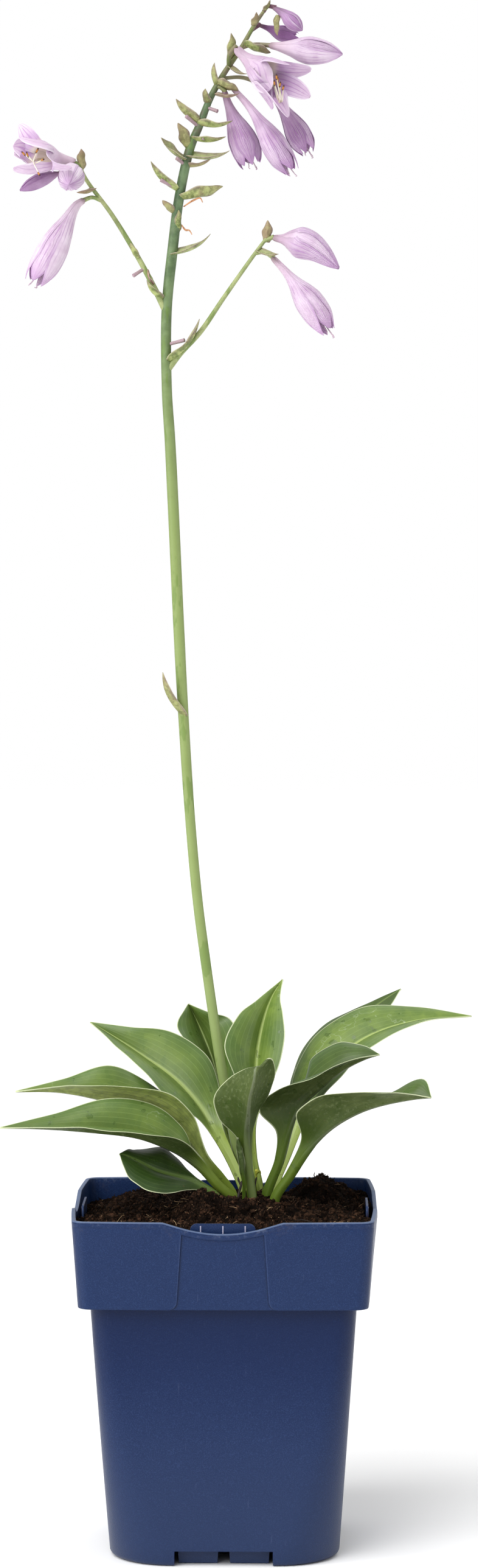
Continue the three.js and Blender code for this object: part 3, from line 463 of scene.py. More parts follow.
def potShell():
    s = potShape
    foot = ((1.6, 0), (1.1, 0.35), (0.5, 1.0), (0, 2.2))
    rings = [potRing(s["baseHalf"] - inset, s["baseCorner"], z) for inset, z in foot]
    for share in np.linspace(0, 1, 16)[1:]:
        corner = s["bodyTopCorner"] + (s["baseCorner"] - s["bodyTopCorner"]) * (1 - share) ** 1.7
        half = s["baseHalf"] + (s["bodyTopHalf"] - s["baseHalf"]) * share
        z = 2.2 + (s["bandBottom"] - 2.2) * share
        rings.append(potRing(half, corner, z, s["bodyBulge"] * share))
    rings += [bandRing(0, 0.5), bandRing(0.15, 0.14)]
    heights = [0.5, 1, 1.6, 2.3, 3, 3.6, 4, 5.5, *np.linspace(5.5, bandHeight, 12)[1:]]
    rings += [bandRing(h, 0) for h in heights]
    lip = {"bulge": s["rimBulge"], "dip": s["dipDepth"]}
    for inset, down in (
        (0.12, 2.9), (0, 2.7), (0, 1.5), (0, 1.0), (0.1, 0.88), (0, 0.76), (0, 0.4), (0.12, 0.12), (0.42, 0),
    ):
        rings.append(potRing(s["rimHalf"] - inset, s["rimCorner"], s["height"] - down, **lip))
    for inset, down in ((1.6, 0), (1.84, 0.12), (1.9, 0.4)):
        rings.append(potRing(s["rimHalf"] - inset, s["rimCorner"] - 1.2, s["height"] - down, **lip))
    # down the inside, to the floor
    wall = s["wall"]
    ledge = s["bandBottom"] + wall
    rings += [
        potRing(s["rimHalf"] - (wall + s["lipProud"]), s["rimCorner"] - wall, s["height"] - 3.5, **lip),
        potRing(s["bandHalf"] - wall, s["rimCorner"] - wall, ledge, s["bandBulge"] - 0.7),
        potRing(s["bodyTopHalf"] - wall, s["bodyTopCorner"] - wall, ledge, s["bodyBulge"]),
        potRing(s["baseHalf"] - wall, s["baseCorner"] - wall, s["floorTop"]),
    ]
    return ringShell(rings)


def bandRing(h, inset):
    s = potShape
    share = h / bandHeight
    half = s["bandHalf"] + (s["rimHalf"] - 0.06 - s["bandHalf"]) * share
    bulge = s["bandBulge"] + (s["rimBulge"] - s["bandBulge"]) * share
    z = s["bandBottom"] + h
    panelHalf = float(panelHalfAt(h))
    return potRing(half - inset, s["rimCorner"], z, bulge, s["panelRecess"], panelHalf, s["dipDepth"] * share)


def boxShell(width, depth, height, x, y, z, taper=0.0):
    corners = np.array([[-1, -1], [1, -1], [1, 1], [-1, 1]]) * [width / 2, depth / 2]
    rings = []
    for k in (0, 1):
        rings.append(np.column_stack([corners * (1 + taper * k) + [x, y], np.full(4, z + k * height)]))
    return ringShell(rings)


def tabShell():
    t = tab
    half, low, corner = t["topWidth"] / 2 + 0.6, t["bottomWidth"] / 2, t["corner"]
    angles = np.linspace(0, math.pi / 2, 8)
    turnX = half - corner + corner * np.cos(angles)
    turnZ = t["top"] - corner + corner * np.sin(angles)
    right = np.stack([turnX, turnZ], 1)
    outline = np.vstack([[[low, t["bottom"]]], right, right[::-1] * [-1, 1], [[-low, t["bottom"]]]])
    middle = outline.mean(0)
    front = -(potShape["rimHalf"] - t["setBack"])
    rings = []
    for y, shrink in ((0, 0.2), (0.12, 0.05), (0.3, 0), (0.7, 0), (0.88, 0.05), (1.0, 0.2)):
        inset = outline - unit(outline - middle) * shrink
        depth = np.full(len(inset), front + y * t["thickness"])
        rings.append(np.column_stack([inset[:, 0], depth, inset[:, 1]]))
    return ringShell(rings)


def turned(shell, quarter):
    return {**shell, "verts": quarterTurn(shell["verts"], quarter)}


def makePot(finish):
    s = potShape
    body = newPiece("nurseryPot", [potShell()], finish)
    # the notches through the foot and the drain holes are cut out
    reachIn = -s["baseHalf"] + notch["length"] / 2 - 1
    channel = boxShell(notch["width"], notch["length"], 2 * notch["height"], 0, reachIn, -notch["height"])
    angles = np.linspace(0, 2 * math.pi, drain["sides"], endpoint=False)
    circle = drain["radius"] * np.stack([np.cos(angles), np.sin(angles)], 1)
    holes = []
    for x, y in ((0, -drain["middle"]), (drain["corner"], -drain["corner"])):
        hole = ringShell([np.column_stack([circle + [x, y], np.full(len(circle), z)]) for z in (-5.0, 30.0)])
        holes += [turned(hole, k) for k in range(4)]
    channels = newPiece("channels", [turned(channel, k) for k in range(4)], finish)
    cutters = [channels, newPiece("drains", holes, finish)]
    for cutter in cutters:
        cut = body.modifiers.new(cutter.name, "BOOLEAN")
        cut.operation = "DIFFERENCE"
        cut.solver = "EXACT"
        cut.object = cutter
    body = bake(body)
    for cutter in cutters:
        bpy.data.objects.remove(cutter)
    # the foot pads, the label tabs and the bridges that carry the tabs
    extras = []
    for side in (-1, 1):
        x = side * (footPad["width"] + footPad["between"]) / 2
        y = -s["baseHalf"] + footPad["setBack"] + footPad["length"] / 2
        height = notch["height"] + 0.5
        extras.append(boxShell(footPad["width"], footPad["length"], height, x, y, 0, taper=0.06))
    extras.append(tabShell())
    front = s["rimHalf"] - tab["setBack"]
    extras.append(boxShell(tab["bottomWidth"] - 4, 3.6, 2, 0, -front - 0.8, tab["bottom"]))
    shells = [turned(shell, k) for shell in extras for k in range(4)]
    # each shell's outline is marked as a panel's edge, which carries the painted highlight, and the middles
    # of its two faces aren't
    outlines = [np.append(np.full(len(shell["verts"]) - 2, 0.25), [farOff, farOff]) for shell in shells]
    trim = newPiece("potTrim", shells, finish, crease=35)
    markPot(body.data)
    markPot(trim.data, np.concatenate(outlines))
    body.data.shade_smooth()
    body.data.set_sharp_from_angle(angle=math.radians(40))
    hand(body, "pot_plastic", "pot")
    hand(trim, "pot_plastic")


def makeTicks(finish):
    # Three short upright lines on each label tab: a line of points with a thin bar on each
    sheet, sockets = newTree("labelTicks", dict.fromkeys(ticks, "Float"))
    given = sheet.add("NodeGroupInput").outputs
    start = sheet.add("ShaderNodeCombineXYZ", {
        "X": sheet.math("MULTIPLY", given["Spacing"], -1.0),
        "Y": -(potShape["rimHalf"] - tab["setBack"]) * mm,
        "Z": sheet.math("SUBTRACT", given["Top"], sheet.math("MULTIPLY", given["Height"], 0.5)),
    })
    step = sheet.add("ShaderNodeCombineXYZ", {"X": given["Spacing"]}).outputs[0]
    line = sheet.add("GeometryNodeMeshLine", {"Count": 3, "Start Location": start.outputs[0], "Offset": step})
    size = sheet.add("ShaderNodeCombineXYZ", {"X": given["Width"], "Y": given["Depth"], "Z": given["Height"]})
    bar = sheet.add("GeometryNodeMeshCube", {"Size": size.outputs[0]})
    inputs = {"Points": line.outputs["Mesh"], "Instance": bar.outputs["Mesh"]}
    sheet.wear(sheet.add("GeometryNodeInstanceOnPoints", inputs).outputs[0], finish)
    bars = linked("labelTicks", bpy.data.meshes.new("labelTicks"))
    bars = grown(bars, sheet, sockets, {key: value * mm for key, value in ticks.items()})
    shell = {
        "verts": np.array([v.co for v in bars.data.vertices]) / mm,
        "quads": np.array([list(f.vertices) for f in bars.data.polygons]),
        "tris": np.zeros((0, 3), int),
        "marks": {},
    }
    bpy.data.objects.remove(bars)
    hand(newPiece("tickMarks", [turned(shell, k) for k in range(4)], finish, crease=30), "pot_plastic")


def tickFinish():
    finish = Finish("tickPlastic", Roughness=0.5)
    tone = finish.between(finish.grain(900, 3), (0.24, 0.25, 0.38), (0.38, 0.37, 0.48))
    return finish.end(Base_Color=tone)


makePot(potFinish())
makeTicks(tickFinish())
print("pot made")


# The peat

peatShape = {
    "edge": 157.5, "cells": 170, "lumps": 2.6, "grains": 2.1, "dust": 1.1,
    "tabRoom": 4.3, "tabRoomHalf": 18.5,
}
# how high (or deep) each rise of the peat is, where its middle is, and how far it spreads
peatRises = {
    "crown": (9, 11, -1, 19, 19), "leftLump": (11.5, -10, -29, 8.5, 7), "frontLump": (4.5, 9, -27, 8, 7),
    "hollow": (9, 29, 42, 5.5, 14), "lowCorner": (6, -64, 55, 11, 20), "front": (2.5, 0, -62, 60, 20),
    "back": (2.5, -28, 52, 18, 16),
}
crumbs = {
    "peatCrumbs": {
        "Sides": 5, "Rings": 3, "Density": 335000.0, "Smallest": 0.28, "Largest": 1.3, "Slimness": 1.0,
        "Palest": 0.9, "Seed": 7,
    },
    "peatFlecks": {
        "Sides": 4, "Rings": 2, "Density": 330000.0, "Smallest": 0.15, "Largest": 0.42, "Slimness": 5.0,
        "Palest": 1.0, "Seed": 9,
    },
}
fibres = {"Density": 15000.0, "Length": 6.5, "Thickness": 0.13, "Curl": 4.0, "Seed": 3}
# dark twigs stuck in the peat, each with its thickness, and the tiny sprout behind the stalks
twigs = [
    [[[5.4, -20.5, 161], [6.2, -20, 167.5], [6.9, -19, 170.7], [7.7, -18.5, 173.5], [7.9, -18, 175.5]], 0.7],
    [[[7.7, -18.5, 173.5], [6.6, -17.8, 175.4], [6.2, -17.5, 177.2]], 0.6],
    [[[13.6, 6, 166], [14.3, 6, 171.5], [14.9, 6, 174.4]], 0.5],
    [[[42.5, 44, 163], [43.1, 44, 167], [42.3, 43.5, 169], [42.8, 43.5, 170.6]], 0.3],
    [[[46, 45, 163], [46.6, 45, 167], [45.9, 44.5, 168.2], [47.1, 44, 169.6]], 0.3],
    [[[48, 46, 162], [49.2, 46, 166], [50.4, 45, 167.6]], 0.25],
    [[[39.5, 43, 161], [38.5, 42, 164], [37.6, 42, 165.3]], 0.18],
    [[[-40, -52, 158.5], [-33, -55, 161], [-27, -54, 160]], 0.2],
    [[[30, -40, 158.5], [36, -46, 161.5], [43, -47, 160]], 0.2],
]
sprout = [
    [[14.6, 6, 173.6], [14.8, 5.6, 175.8], [16, 5.3, 176.5], [16.9, 5.6, 175.4]],
    [[14.7, 6, 175], [14.6, 5.6, 176.6], [15.2, 5.3, 177.6]],
]


def hump(x, y, middleX, middleY, spreadX, spreadY):
    return np.exp(-(((x - middleX) / spreadX) ** 2 + ((y - middleY) / spreadY) ** 2) / 2)


def peatHeight(x, y):
    crown, leftLump, frontLump, hollow, lowCorner, front, back = (
        height * hump(x, y, *spread) for height, *spread in peatRises.values()
    )
    heap = 9.2 * np.exp(-(((x - 43.5) / 12) ** 4 + ((y - 46) / 15) ** 4) / 2)
    return peatShape["edge"] + (crown + leftLump + frontLump) + heap - hollow - lowCorner + (front + back)


def peatFinish(name, dark, light):
    # lot is a number from 0 to 1 that each crumb has of its own: most are dark, some rusty, a few tan.
    # raised is how far a place stands out of the hollows round it; the hollows, and the peat towards the
    # back, are painted close to black as painted shade
    finish = Finish(name, Roughness=0.95, Specular_IOR_Level=0.06)
    lot, raised = finish.mark("lot"), finish.mark("raised")
    tone = finish.between(finish.rise(finish.grain(260, 5, 0.7), 0.4, 0.66), dark, light)
    tone = finish.over(tone, (0.055, 0.028, 0.016), finish.rise(lot, 0.55, 0.8, 0.75))
    tone = finish.over(tone, (0.1, 0.047, 0.027), finish.rise(lot, 0.8, 0.92, 0.8))
    tone = finish.over(tone, (0.3, 0.19, 0.11), finish.rise(lot, 0.965, 0.98, 0.9))
    tone = finish.over(tone, (0.075, 0.032, 0.018), finish.rise(finish.grain(700, 3, 0.6), 0.6, 0.75, 0.6))
    # painted shade: low places and the back of the peat are darkened almost to black
    back = finish.rise(finish.axis("Y"), -0.035, 0.03, 0.55)
    shown = finish.math("SUBTRACT", finish.rise(raised, 0.1, 0.75), back)
    paintedShade = finish.math("SUBTRACT", 1.0, shown, clamp=True)
    tone = finish.over(tone, (0.0025, 0.0014, 0.001), paintedShade, 0.85)
    return finish.end(Base_Color=tone, Normal=finish.bump(finish.grain(1500, 4, 0.7), 0.0006, 0.9))


def squarePoint(u, v, half, corner, bulge=0.0):
    # Takes the square from -1 to 1 to a round-cornered one, ring by ring, and bows its sides out.
    border = np.maximum(np.maximum(np.abs(u), np.abs(v)), 1e-9)
    du, dv = np.abs(u) / border, np.abs(v) / border
    straight = half - corner
    long, square = du**2 + dv**2, straight * (du + dv)
    root = np.sqrt(np.maximum(square**2 - long * (2 * straight**2 - corner**2), 0))
    inCorner = np.minimum(du, dv) * half > straight
    size = np.where(inCorner, (square + root) / long, half)
    x, y = u * size, v * size
    bowX = bulge * np.clip(1 - (y / straight) ** 2, 0, 1) * u**3
    bowY = bulge * np.clip(1 - (x / straight) ** 2, 0, 1) * v**3
    return x + np.where(np.abs(u) >= np.abs(v), bowX, 0), y + np.where(np.abs(v) >= np.abs(u), bowY, 0)


def makePeat(finish):
    s = potShape
    n = peatShape["cells"]
    inset = s["wall"] + 0.3
    half = s["rimHalf"] - s["lipProud"] - inset
    u, v = np.meshgrid(np.linspace(-1, 1, n + 1), np.linspace(-1, 1, n + 1))
    x, y = squarePoint(u, v, half, s["rimCorner"] - inset, s["rimBulge"])
    # room behind each label tab
    room, roomHalf = peatShape["tabRoom"], peatShape["tabRoomHalf"]
    x = x - room * smooth((roomHalf - np.abs(y)) / 1.5) * u**9 * (np.abs(u) >= np.abs(v))
    y = y - room * smooth((roomHalf - np.abs(x)) / 1.5) * v**9 * (np.abs(v) > np.abs(u))
    border = np.maximum(np.abs(u), np.abs(v))
    tame = 1 - 0.75 * smooth((border - 0.93) / 0.07)
    z = peatHeight(x, y)
    rough = np.zeros_like(z)
    for key, size in (("lumps", 7.0), ("grains", 3.0), ("dust", 1.4)):
        octave = [noise.noise(Vector((px / size, py / size, size))) for px, py in zip(x.ravel(), y.ravel())]
        rough += peatShape[key] * np.array(octave).reshape(z.shape)
    z = z + rough * tame * (1 - 0.25 * hump(x, y, 44, 46, 14, 17))
    dipHere = dipAt(np.where(np.abs(u) > np.abs(v), y, x), s["dipDepth"])
    z = np.where(border > 0.985, np.minimum(z, s["height"] - 0.8 - 0.4 * dipHere), z)
    # the square grid of the top, then the sides down the inner wall and the underside
    upwards, downwards = range(n), range(n, 0, -1)
    rim = [(0, i) for i in upwards] + [(i, n) for i in upwards]
    rim += [(n, i) for i in downwards] + [(i, 0) for i in downwards]
    rimU, rimV = np.array([u[i, j] for i, j in rim]), np.array([v[i, j] for i, j in rim])
    top = np.arange((n + 1) ** 2).reshape(n + 1, n + 1)
    topFaces = np.stack([top[:-1, :-1], top[:-1, 1:], top[1:, 1:], top[1:, :-1]], -1).reshape(-1, 4)
    ledge, narrow = s["bandBottom"] + inset, s["bodyTopHalf"] - inset
    band, bandCorner = s["bandHalf"] - inset, s["rimCorner"] - inset
    levels = [(band - 3.6, bandCorner, tab["bottom"]), (band, bandCorner, ledge)]
    for share in (1.0, 0.75, 0.5, 0.25, 0.0):
        width = s["baseHalf"] - inset + (narrow - s["baseHalf"] + inset) * share
        corner = s["bodyTopCorner"] + (s["baseCorner"] - s["bodyTopCorner"]) * (1 - share) - inset
        levels.append((width, corner + 0.6, s["floorTop"] + 0.3 + (ledge - 8.8) * share))
    rings = []
    for width, corner, level in levels:
        rings.append(np.column_stack([*squarePoint(rimU, rimV, width, corner), np.full(len(rim), level)]))
    verts = np.vstack([np.stack([x, y, z], -1).reshape(-1, 3), *rings, [[0, 0, levels[-1][2]]]])
    ids = [np.array([top[i, j] for i, j in rim])]
    start = (n + 1) ** 2
    for _ in rings:
        ids.append(start + np.arange(len(rim)))
        start += len(rim)
    sides = []
    for upper, lower in zip(ids[:-1], ids[1:]):
        sides.append(np.stack([upper, lower, np.roll(lower, -1), np.roll(upper, -1)], -1))
    tris = np.stack([np.full(len(rim), start), np.roll(ids[-1], -1), ids[-1]], -1)
    raised = np.concatenate([np.clip(rough.ravel() / 3.2 + 0.45, 0, 1), np.zeros(len(verts) - rough.size)])
    quads = np.vstack([topFaces] + sides)
    shell = {"verts": verts, "quads": quads, "tris": tris, "marks": {"raised": raised}}
    piece = newPiece("peatBed", [shell], finish)
    hand(piece, "peat", "peat")
    return piece


def topPoints(sheet, given, reach=70):
    # points on the upward faces near the top of the peat, within reach of the middle
    normal = sheet.add("ShaderNodeSeparateXYZ", {0: sheet.add("GeometryNodeInputNormal").outputs[0]})
    place = sheet.add("ShaderNodeSeparateXYZ", {0: sheet.add("GeometryNodeInputPosition").outputs[0]})
    upward = sheet.math("GREATER_THAN", normal.outputs["Z"], 0.2)
    high = sheet.math("GREATER_THAN", place.outputs["Z"], 0.145)
    chosen = sheet.math("MULTIPLY", upward, high)
    for axis in ("X", "Y"):
        within = sheet.math("LESS_THAN", sheet.math("ABSOLUTE", place.outputs[axis]), reach * mm)
        chosen = sheet.math("MULTIPLY", chosen, within)
    return sheet.add("GeometryNodeDistributePointsOnFaces", {
        "Mesh": given["Geometry"], "Selection": chosen, "Density": given["Density"], "Seed": given["Seed"],
    })


def randomBetween(sheet, low, high, seed, kind="FLOAT"):
    node = sheet.add("FunctionNodeRandomValue", data_type=kind)
    slots = {"FLOAT": (2, 3, 1), "FLOAT_VECTOR": (0, 1, 0)}[kind]
    sheet.feed(node, {slots[0]: low, slots[1]: high, "Seed": seed})
    return node.outputs[slots[2]]


def grownOver(name, carrier, sheet, sockets, settings, lengths):
    values = {key: value * mm if key in lengths else value for key, value in settings.items()}
    return grown(linked(name, carrier.data.copy()), sheet, sockets, values)


def wobbled(sheet, geometry, scale, middle, size):
    # moves every point by a noise read at its own place
    wobble = sheet.add("ShaderNodeTexNoise", {"Scale": scale, "Detail": 1.0})
    centred = sheet.vectorMath("SUBTRACT", wobble.outputs["Color"], middle)
    shift = sheet.vectorMath("SCALE", centred, size)
    return sheet.add("GeometryNodeSetPosition", {"Geometry": geometry, "Offset": shift}).outputs[0]


def makeCrumbs(name, bed, finish):
    settings = crumbs[name]
    kinds = {key: "Int" if key in ("Seed", "Sides", "Rings") else "Float" for key in settings}
    sheet, sockets = newTree(name, kinds)
    given = sheet.add("NodeGroupInput").outputs
    points = topPoints(sheet, given)
    ball = {"Segments": given["Sides"], "Rings": given["Rings"], "Radius": 1.0}
    crumb = sheet.add("GeometryNodeMeshUVSphere", ball)
    turn = randomBetween(sheet, (0, 0, 0), (6.28, 6.28, 6.28), 11, "FLOAT_VECTOR")
    # many small crumbs and few large ones
    lot = sheet.math("POWER", randomBetween(sheet, 0.0, 1.0, 12), 2.4)
    more = sheet.math("SUBTRACT", given["Largest"], given["Smallest"])
    size = sheet.math("ADD", given["Smallest"], sheet.times(lot, more))
    shape = randomBetween(sheet, (0.6, 0.6, 0.45), (1.5, 1.2, 1.0), 13, "FLOAT_VECTOR")
    slim = sheet.add("ShaderNodeCombineXYZ", {"X": given["Slimness"], "Y": 1.0, "Z": 1.0})
    shape = sheet.vectorMath("MULTIPLY", shape, slim.outputs[0])
    placed = sheet.add("GeometryNodeInstanceOnPoints", {
        "Points": points.outputs["Points"], "Instance": crumb.outputs["Mesh"], "Rotation": turn,
        "Scale": sheet.vectorMath("SCALE", shape, size),
    })
    marked = sheet.add("GeometryNodeStoreNamedAttribute", {
        "Geometry": placed.outputs[0], "Name": "lot", "Value": randomBetween(sheet, 0.0, given["Palest"], 14),
    }, data_type="FLOAT", domain="INSTANCE")
    real = sheet.add("GeometryNodeRealizeInstances", {"Geometry": marked.outputs[0]})
    sheet.wear(wobbled(sheet, real.outputs[0], 1300.0, (0.5, 0.5, 0.5), 0.0021), finish)
    piece = grownOver(name, bed, sheet, sockets, settings, ("Smallest", "Largest"))
    piece.data.shade_smooth()
    hand(piece, "peat")


def makeFibres(bed, finish):
    sheet, sockets = newTree("rootFibres", {key: "Int" if key == "Seed" else "Float" for key in fibres})
    given = sheet.add("NodeGroupInput").outputs
    points = topPoints(sheet, given, 61)
    end = sheet.add("ShaderNodeCombineXYZ", {"X": given["Length"]})
    thread = sheet.add("GeometryNodeCurvePrimitiveLine", {"Start": (0, 0, 0), "End": end.outputs[0]})
    placed = sheet.add("GeometryNodeInstanceOnPoints", {
        "Points": points.outputs["Points"], "Instance": thread.outputs[0],
        "Rotation": randomBetween(sheet, (-0.5, -0.35, 0), (0.5, 0.2, 6.28), 21, "FLOAT_VECTOR"),
        "Scale": randomBetween(sheet, 0.25, 1.0, 22),
    })
    real = sheet.add("GeometryNodeRealizeInstances", {"Geometry": placed.outputs[0]})
    fine = sheet.add("GeometryNodeResampleCurve", {"Curve": real.outputs[0], "Count": 9})
    curled = wobbled(sheet, fine.outputs[0], 130.0, (0.5, 0.5, 0.46), given["Curl"])
    profile = sheet.add("GeometryNodeCurvePrimitiveCircle", {"Resolution": 4, "Radius": given["Thickness"]})
    inputs = {"Curve": curled, "Profile Curve": profile.outputs[0], "Fill Caps": True}
    sheet.wear(sheet.add("GeometryNodeCurveToMesh", inputs).outputs[0], finish)
    hand(grownOver("rootFibres", bed, sheet, sockets, fibres, ("Length", "Thickness", "Curl")), "peat")


def fibreFinish():
    finish = Finish("rootFibre", Roughness=0.8, Specular_IOR_Level=0.2)
    patch = finish.rise(finish.grain(45, 2), 0.4, 0.62)
    return finish.end(Base_Color=finish.between(patch, (0.05, 0.025, 0.014), (0.36, 0.24, 0.13)))


# the bed between the crumbs is toned darker than they are: partly the wet peat's own colour, partly painted
# shade in the gaps
peatBed = makePeat(peatFinish("peatSoil", (0.005, 0.003, 0.002), (0.014, 0.008, 0.005)))
peatCrumb = peatFinish("peatCrumb", (0.013, 0.007, 0.0045), (0.078, 0.041, 0.024))
for name in crumbs:
    makeCrumbs(name, peatBed, peatCrumb)
makeFibres(peatBed, fibreFinish())
print("peat made")


# The leaves

# Each leaf: where it is rooted, two points up its stalk, then at five stations of the blade the midrib and
# the left and right margins, and the tip. Its freshness runs from a deep old green (0) to a light one (1),
# and is
# partly painted light: leaves that face the light are set lighter and shaded ones deeper. pale says how much
# of a pale bloom its underside has, and above 1 paints a glow of light through the leaf; trails how plain its
# dry trails are, and keel how plain the pale line is that runs up its back.
leafShape = {
    "rows": 110, "across": 25, "thickness": 0.55, "ribThickness": 1.3, "stalkThickness": 2.3,
    "stalkHalf": 2.7, "bulge": 0.1, "veins": 7, "veinDepth": 0.1, "ripple": 0.55,
}
leaves = {
    "leaf_01": {
        "freshAndLit": 0.82, "pale": 0.4,
        "root": [11, -1.5, 157], "stalk": [[9.5, -1.5, 166], [1, 2, 185]],
        "blade": [
            [[-5, 6, 195], [-9, 3, 197], [-2, 6, 200]],
            [[-14, 12, 208], [-20, -2, 208], [-3, 20, 214]],
            [[-25, 18, 219], [-31, -2, 216], [-10, 27, 230]],
            [[-40, 24, 229], [-43, 6, 228], [-27, 29, 241]],
            [[-54, 28, 238], [-55, 18, 237], [-45, 28, 243]],
        ],
        "tip": [-66, 32, 245],
    },
    "leaf_02": {
        "trails": 0.3, "freshAndLit": 0.82, "pale": 1.55,
        "root": [5, -4, 157], "stalk": [[4, -4, 167], [-2.5, -5.5, 176]],
        "blade": [
            [[-9, -8, 183], [-7.6, -11, 186.2], [-8.6, -4.5, 186.2]],
            [[-20, -9, 196], [-15, -18, 207], [-19, 2, 206]],
            [[-36, -10, 206], [-28, -25, 218], [-31, 8, 215]],
            [[-59, -11, 213], [-56, -26, 222], [-54, -2, 228]],
            [[-78, -13, 217], [-77, -21, 220.5], [-77, -8, 222.5]],
        ],
        "tip": [-99, -16, 217.5],
    },
    "leaf_03": {
        "trails": 1.0, "freshAndLit": 0.8, "pale": 0.4,
        "root": [6, -10, 157], "stalk": [[4, -10, 165], [-4, -13, 173]],
        "blade": [
            [[-14, -17, 183], [-12, -19, 188], [-14, -14, 187]],
            [[-24, -22, 190], [-19, -34, 196], [-21, -17, 202]],
            [[-40, -27, 197], [-37, -47, 202], [-34, -19, 212]],
            [[-60, -31, 200.3], [-59, -49, 204], [-56, -23, 215]],
            [[-81, -34, 202.3], [-80, -43, 204], [-79, -28, 209]],
        ],
        "tip": [-105, -36, 203],
    },
    "leaf_04": {
        "freshAndLit": 0.0, "pale": 0.15,
        "root": [5, -16, 157], "stalk": [[2, -16, 164], [-4, -18, 170]],
        "blade": [
            [[-12, -21, 175], [-13, -25, 172], [-15, -17, 178]],
            [[-21, -25, 178], [-23, -39, 173], [-21, -11, 184]],
            [[-32, -30, 182], [-34, -47, 175], [-29, -13, 190]],
            [[-40, -34, 187], [-43, -45, 179], [-40, -21, 191]],
            [[-46, -36, 190], [-47, -42, 186], [-45, -29, 192]],
        ],
        "tip": [-49, -37, 191],
    },
    "leaf_05": {
        "freshAndLit": 0.55, "pale": 0.3,
        "root": [9, 10, 157], "stalk": [[9, 11, 168], [3, 17, 187]],
        "blade": [
            [[-1, 24, 199], [-3, 20, 201], [2, 20, 202]],
            [[-3, 32, 211], [-10, 19, 214], [4, 21, 218]],
            [[-7, 42, 225], [-19, 27, 233], [5, 31, 238]],
            [[-12, 48, 237], [-24, 36, 243], [1, 40, 246]],
            [[-16, 50, 246], [-22, 41, 248], [-9, 42, 249]],
        ],
        "tip": [-19, 49, 252],
    },
    "leaf_06": {
        "trails": 0.7, "freshAndLit": 1.0, "pale": 0.4,
        "root": [16.2, 10.6, 157], "stalk": [[16, 10.8, 168], [13, 13, 182]],
        "blade": [
            [[12.5, 17, 196], [10.5, 13, 198], [14.5, 14, 199]],
            [[14, 23, 212], [5, 18, 218], [21, 14, 215]],
            [[15, 30, 230], [-1, 23, 234], [27, 19, 233]],
            [[18, 35, 246], [6, 29, 249], [28, 26, 247]],
            [[22, 38, 257], [15, 35, 256], [26, 32, 256]],
        ],
        "tip": [27, 41, 265],
    },
    "leaf_07": {
        "trails": 1.0, "freshAndLit": 1.0, "pale": 0.5,
        "root": [23, 3, 157], "stalk": [[23, 4, 168], [29, 10, 183]],
        "blade": [
            [[35, 18, 199], [32, 21, 201], [39, 15, 201]],
            [[41, 25, 211], [32, 36, 216], [44, 10, 210]],
            [[53, 34, 226], [42, 49, 236], [56, 13, 222]],
            [[69, 41, 237], [64, 55, 249], [71, 22, 235]],
            [[93, 47, 244.2], [92, 54, 250.3], [94, 39, 244.4]],
        ],
        "tip": [119, 52, 246],
    },
    "leaf_08": {
        "trails": 1.0, "freshAndLit": 0.2, "pale": 0.5,
        "root": [24, 12, 157], "stalk": [[22, 13, 168], [26, 23, 182]],
        "blade": [
            [[32, 36, 197], [31, 41, 198], [34, 32, 198]],
            [[39, 48, 214], [31, 59, 215], [46, 37, 214]],
            [[49, 60, 229], [40, 75, 232], [56, 44, 225]],
            [[63, 68, 242], [56, 81, 243], [69, 54, 239]],
            [[76, 72, 251], [70, 78, 250], [79, 65, 248]],
        ],
        "tip": [85, 74, 257],
    },
    "leaf_09": {
        "freshAndLit": 0.24, "pale": 0.7,
        "root": [19, -4, 157], "stalk": [[20, -3.5, 167], [26, -3.5, 183]],
        "blade": [
            [[31, -4, 199], [32, 3, 202], [24, -4, 197]],
            [[36, -6, 209], [38, 11, 218], [16, -6, 207]],
            [[45, -8, 218], [41, 11, 229], [24, -14.5, 218]],
            [[57, -10, 228.2], [54, 3, 239], [42, -20, 225]],
            [[66, -11, 232.8], [66, -4, 238], [60, -18, 233]],
        ],
        "tip": [73, -13, 235],
    },
    "leaf_10": {
        "freshAndLit": 0.4, "pale": 0.7,
        "root": [23, -10, 157], "stalk": [[24, -10, 166], [31, -12, 177]],
        "blade": [
            [[40, -15, 190], [42, -9, 192], [36, -15, 195]],
            [[51, -19, 201], [47, 0, 205], [34, -26, 209]],
            [[64, -22, 209], [61, 1, 212], [45, -32, 218]],
            [[77, -26, 214], [76, -7, 215], [67, -41, 220]],
            [[88, -29, 216], [94, -23, 224.4], [82, -37, 220]],
        ],
        "tip": [97, -31, 217],
    },
    "leaf_11": {
        "keel": 0.3, "freshAndLit": 0.4, "pale": 0.35,
        "root": [14, -10, 157], "stalk": [[13, -10, 166], [11, -12, 181]],
        "blade": [
            [[10, -17, 196], [13, -14, 198], [7, -15, 193]],
            [[11, -25, 206], [17, -14, 209], [-3, -18, 206]],
            [[12, -34, 217], [22, -21, 221], [-5, -21, 216]],
            [[14, -40, 226], [24, -30, 232], [3, -27, 226]],
            [[15, -41, 231], [21, -36, 236], [12, -33, 231]],
        ],
        "tip": [17, -36, 232],
    },
    "leaf_12": {
        "keel": -1.0, "freshAndLit": 0.12, "pale": 0.0,
        "root": [9, -14, 157], "stalk": [[9, -14, 167], [9, -15, 174]],
        "blade": [
            [[8.3, -16, 179], [9.4, -14.5, 180], [7, -14.5, 180]],
            [[8, -16.5, 183], [9.4, -14.8, 184], [6.6, -14.8, 184]],
            [[7.4, -17, 187], [8.8, -15.2, 187], [6, -15.2, 187]],
            [[6.8, -17.3, 191], [8, -15.8, 191], [5.7, -15.8, 191]],
            [[6.4, -17.6, 194], [7, -17, 194], [5.8, -17, 194]],
        ],
        "tip": [6, -18, 196], "stalkHalf": 1.2, "stalkThickness": 0.9,
    },
}


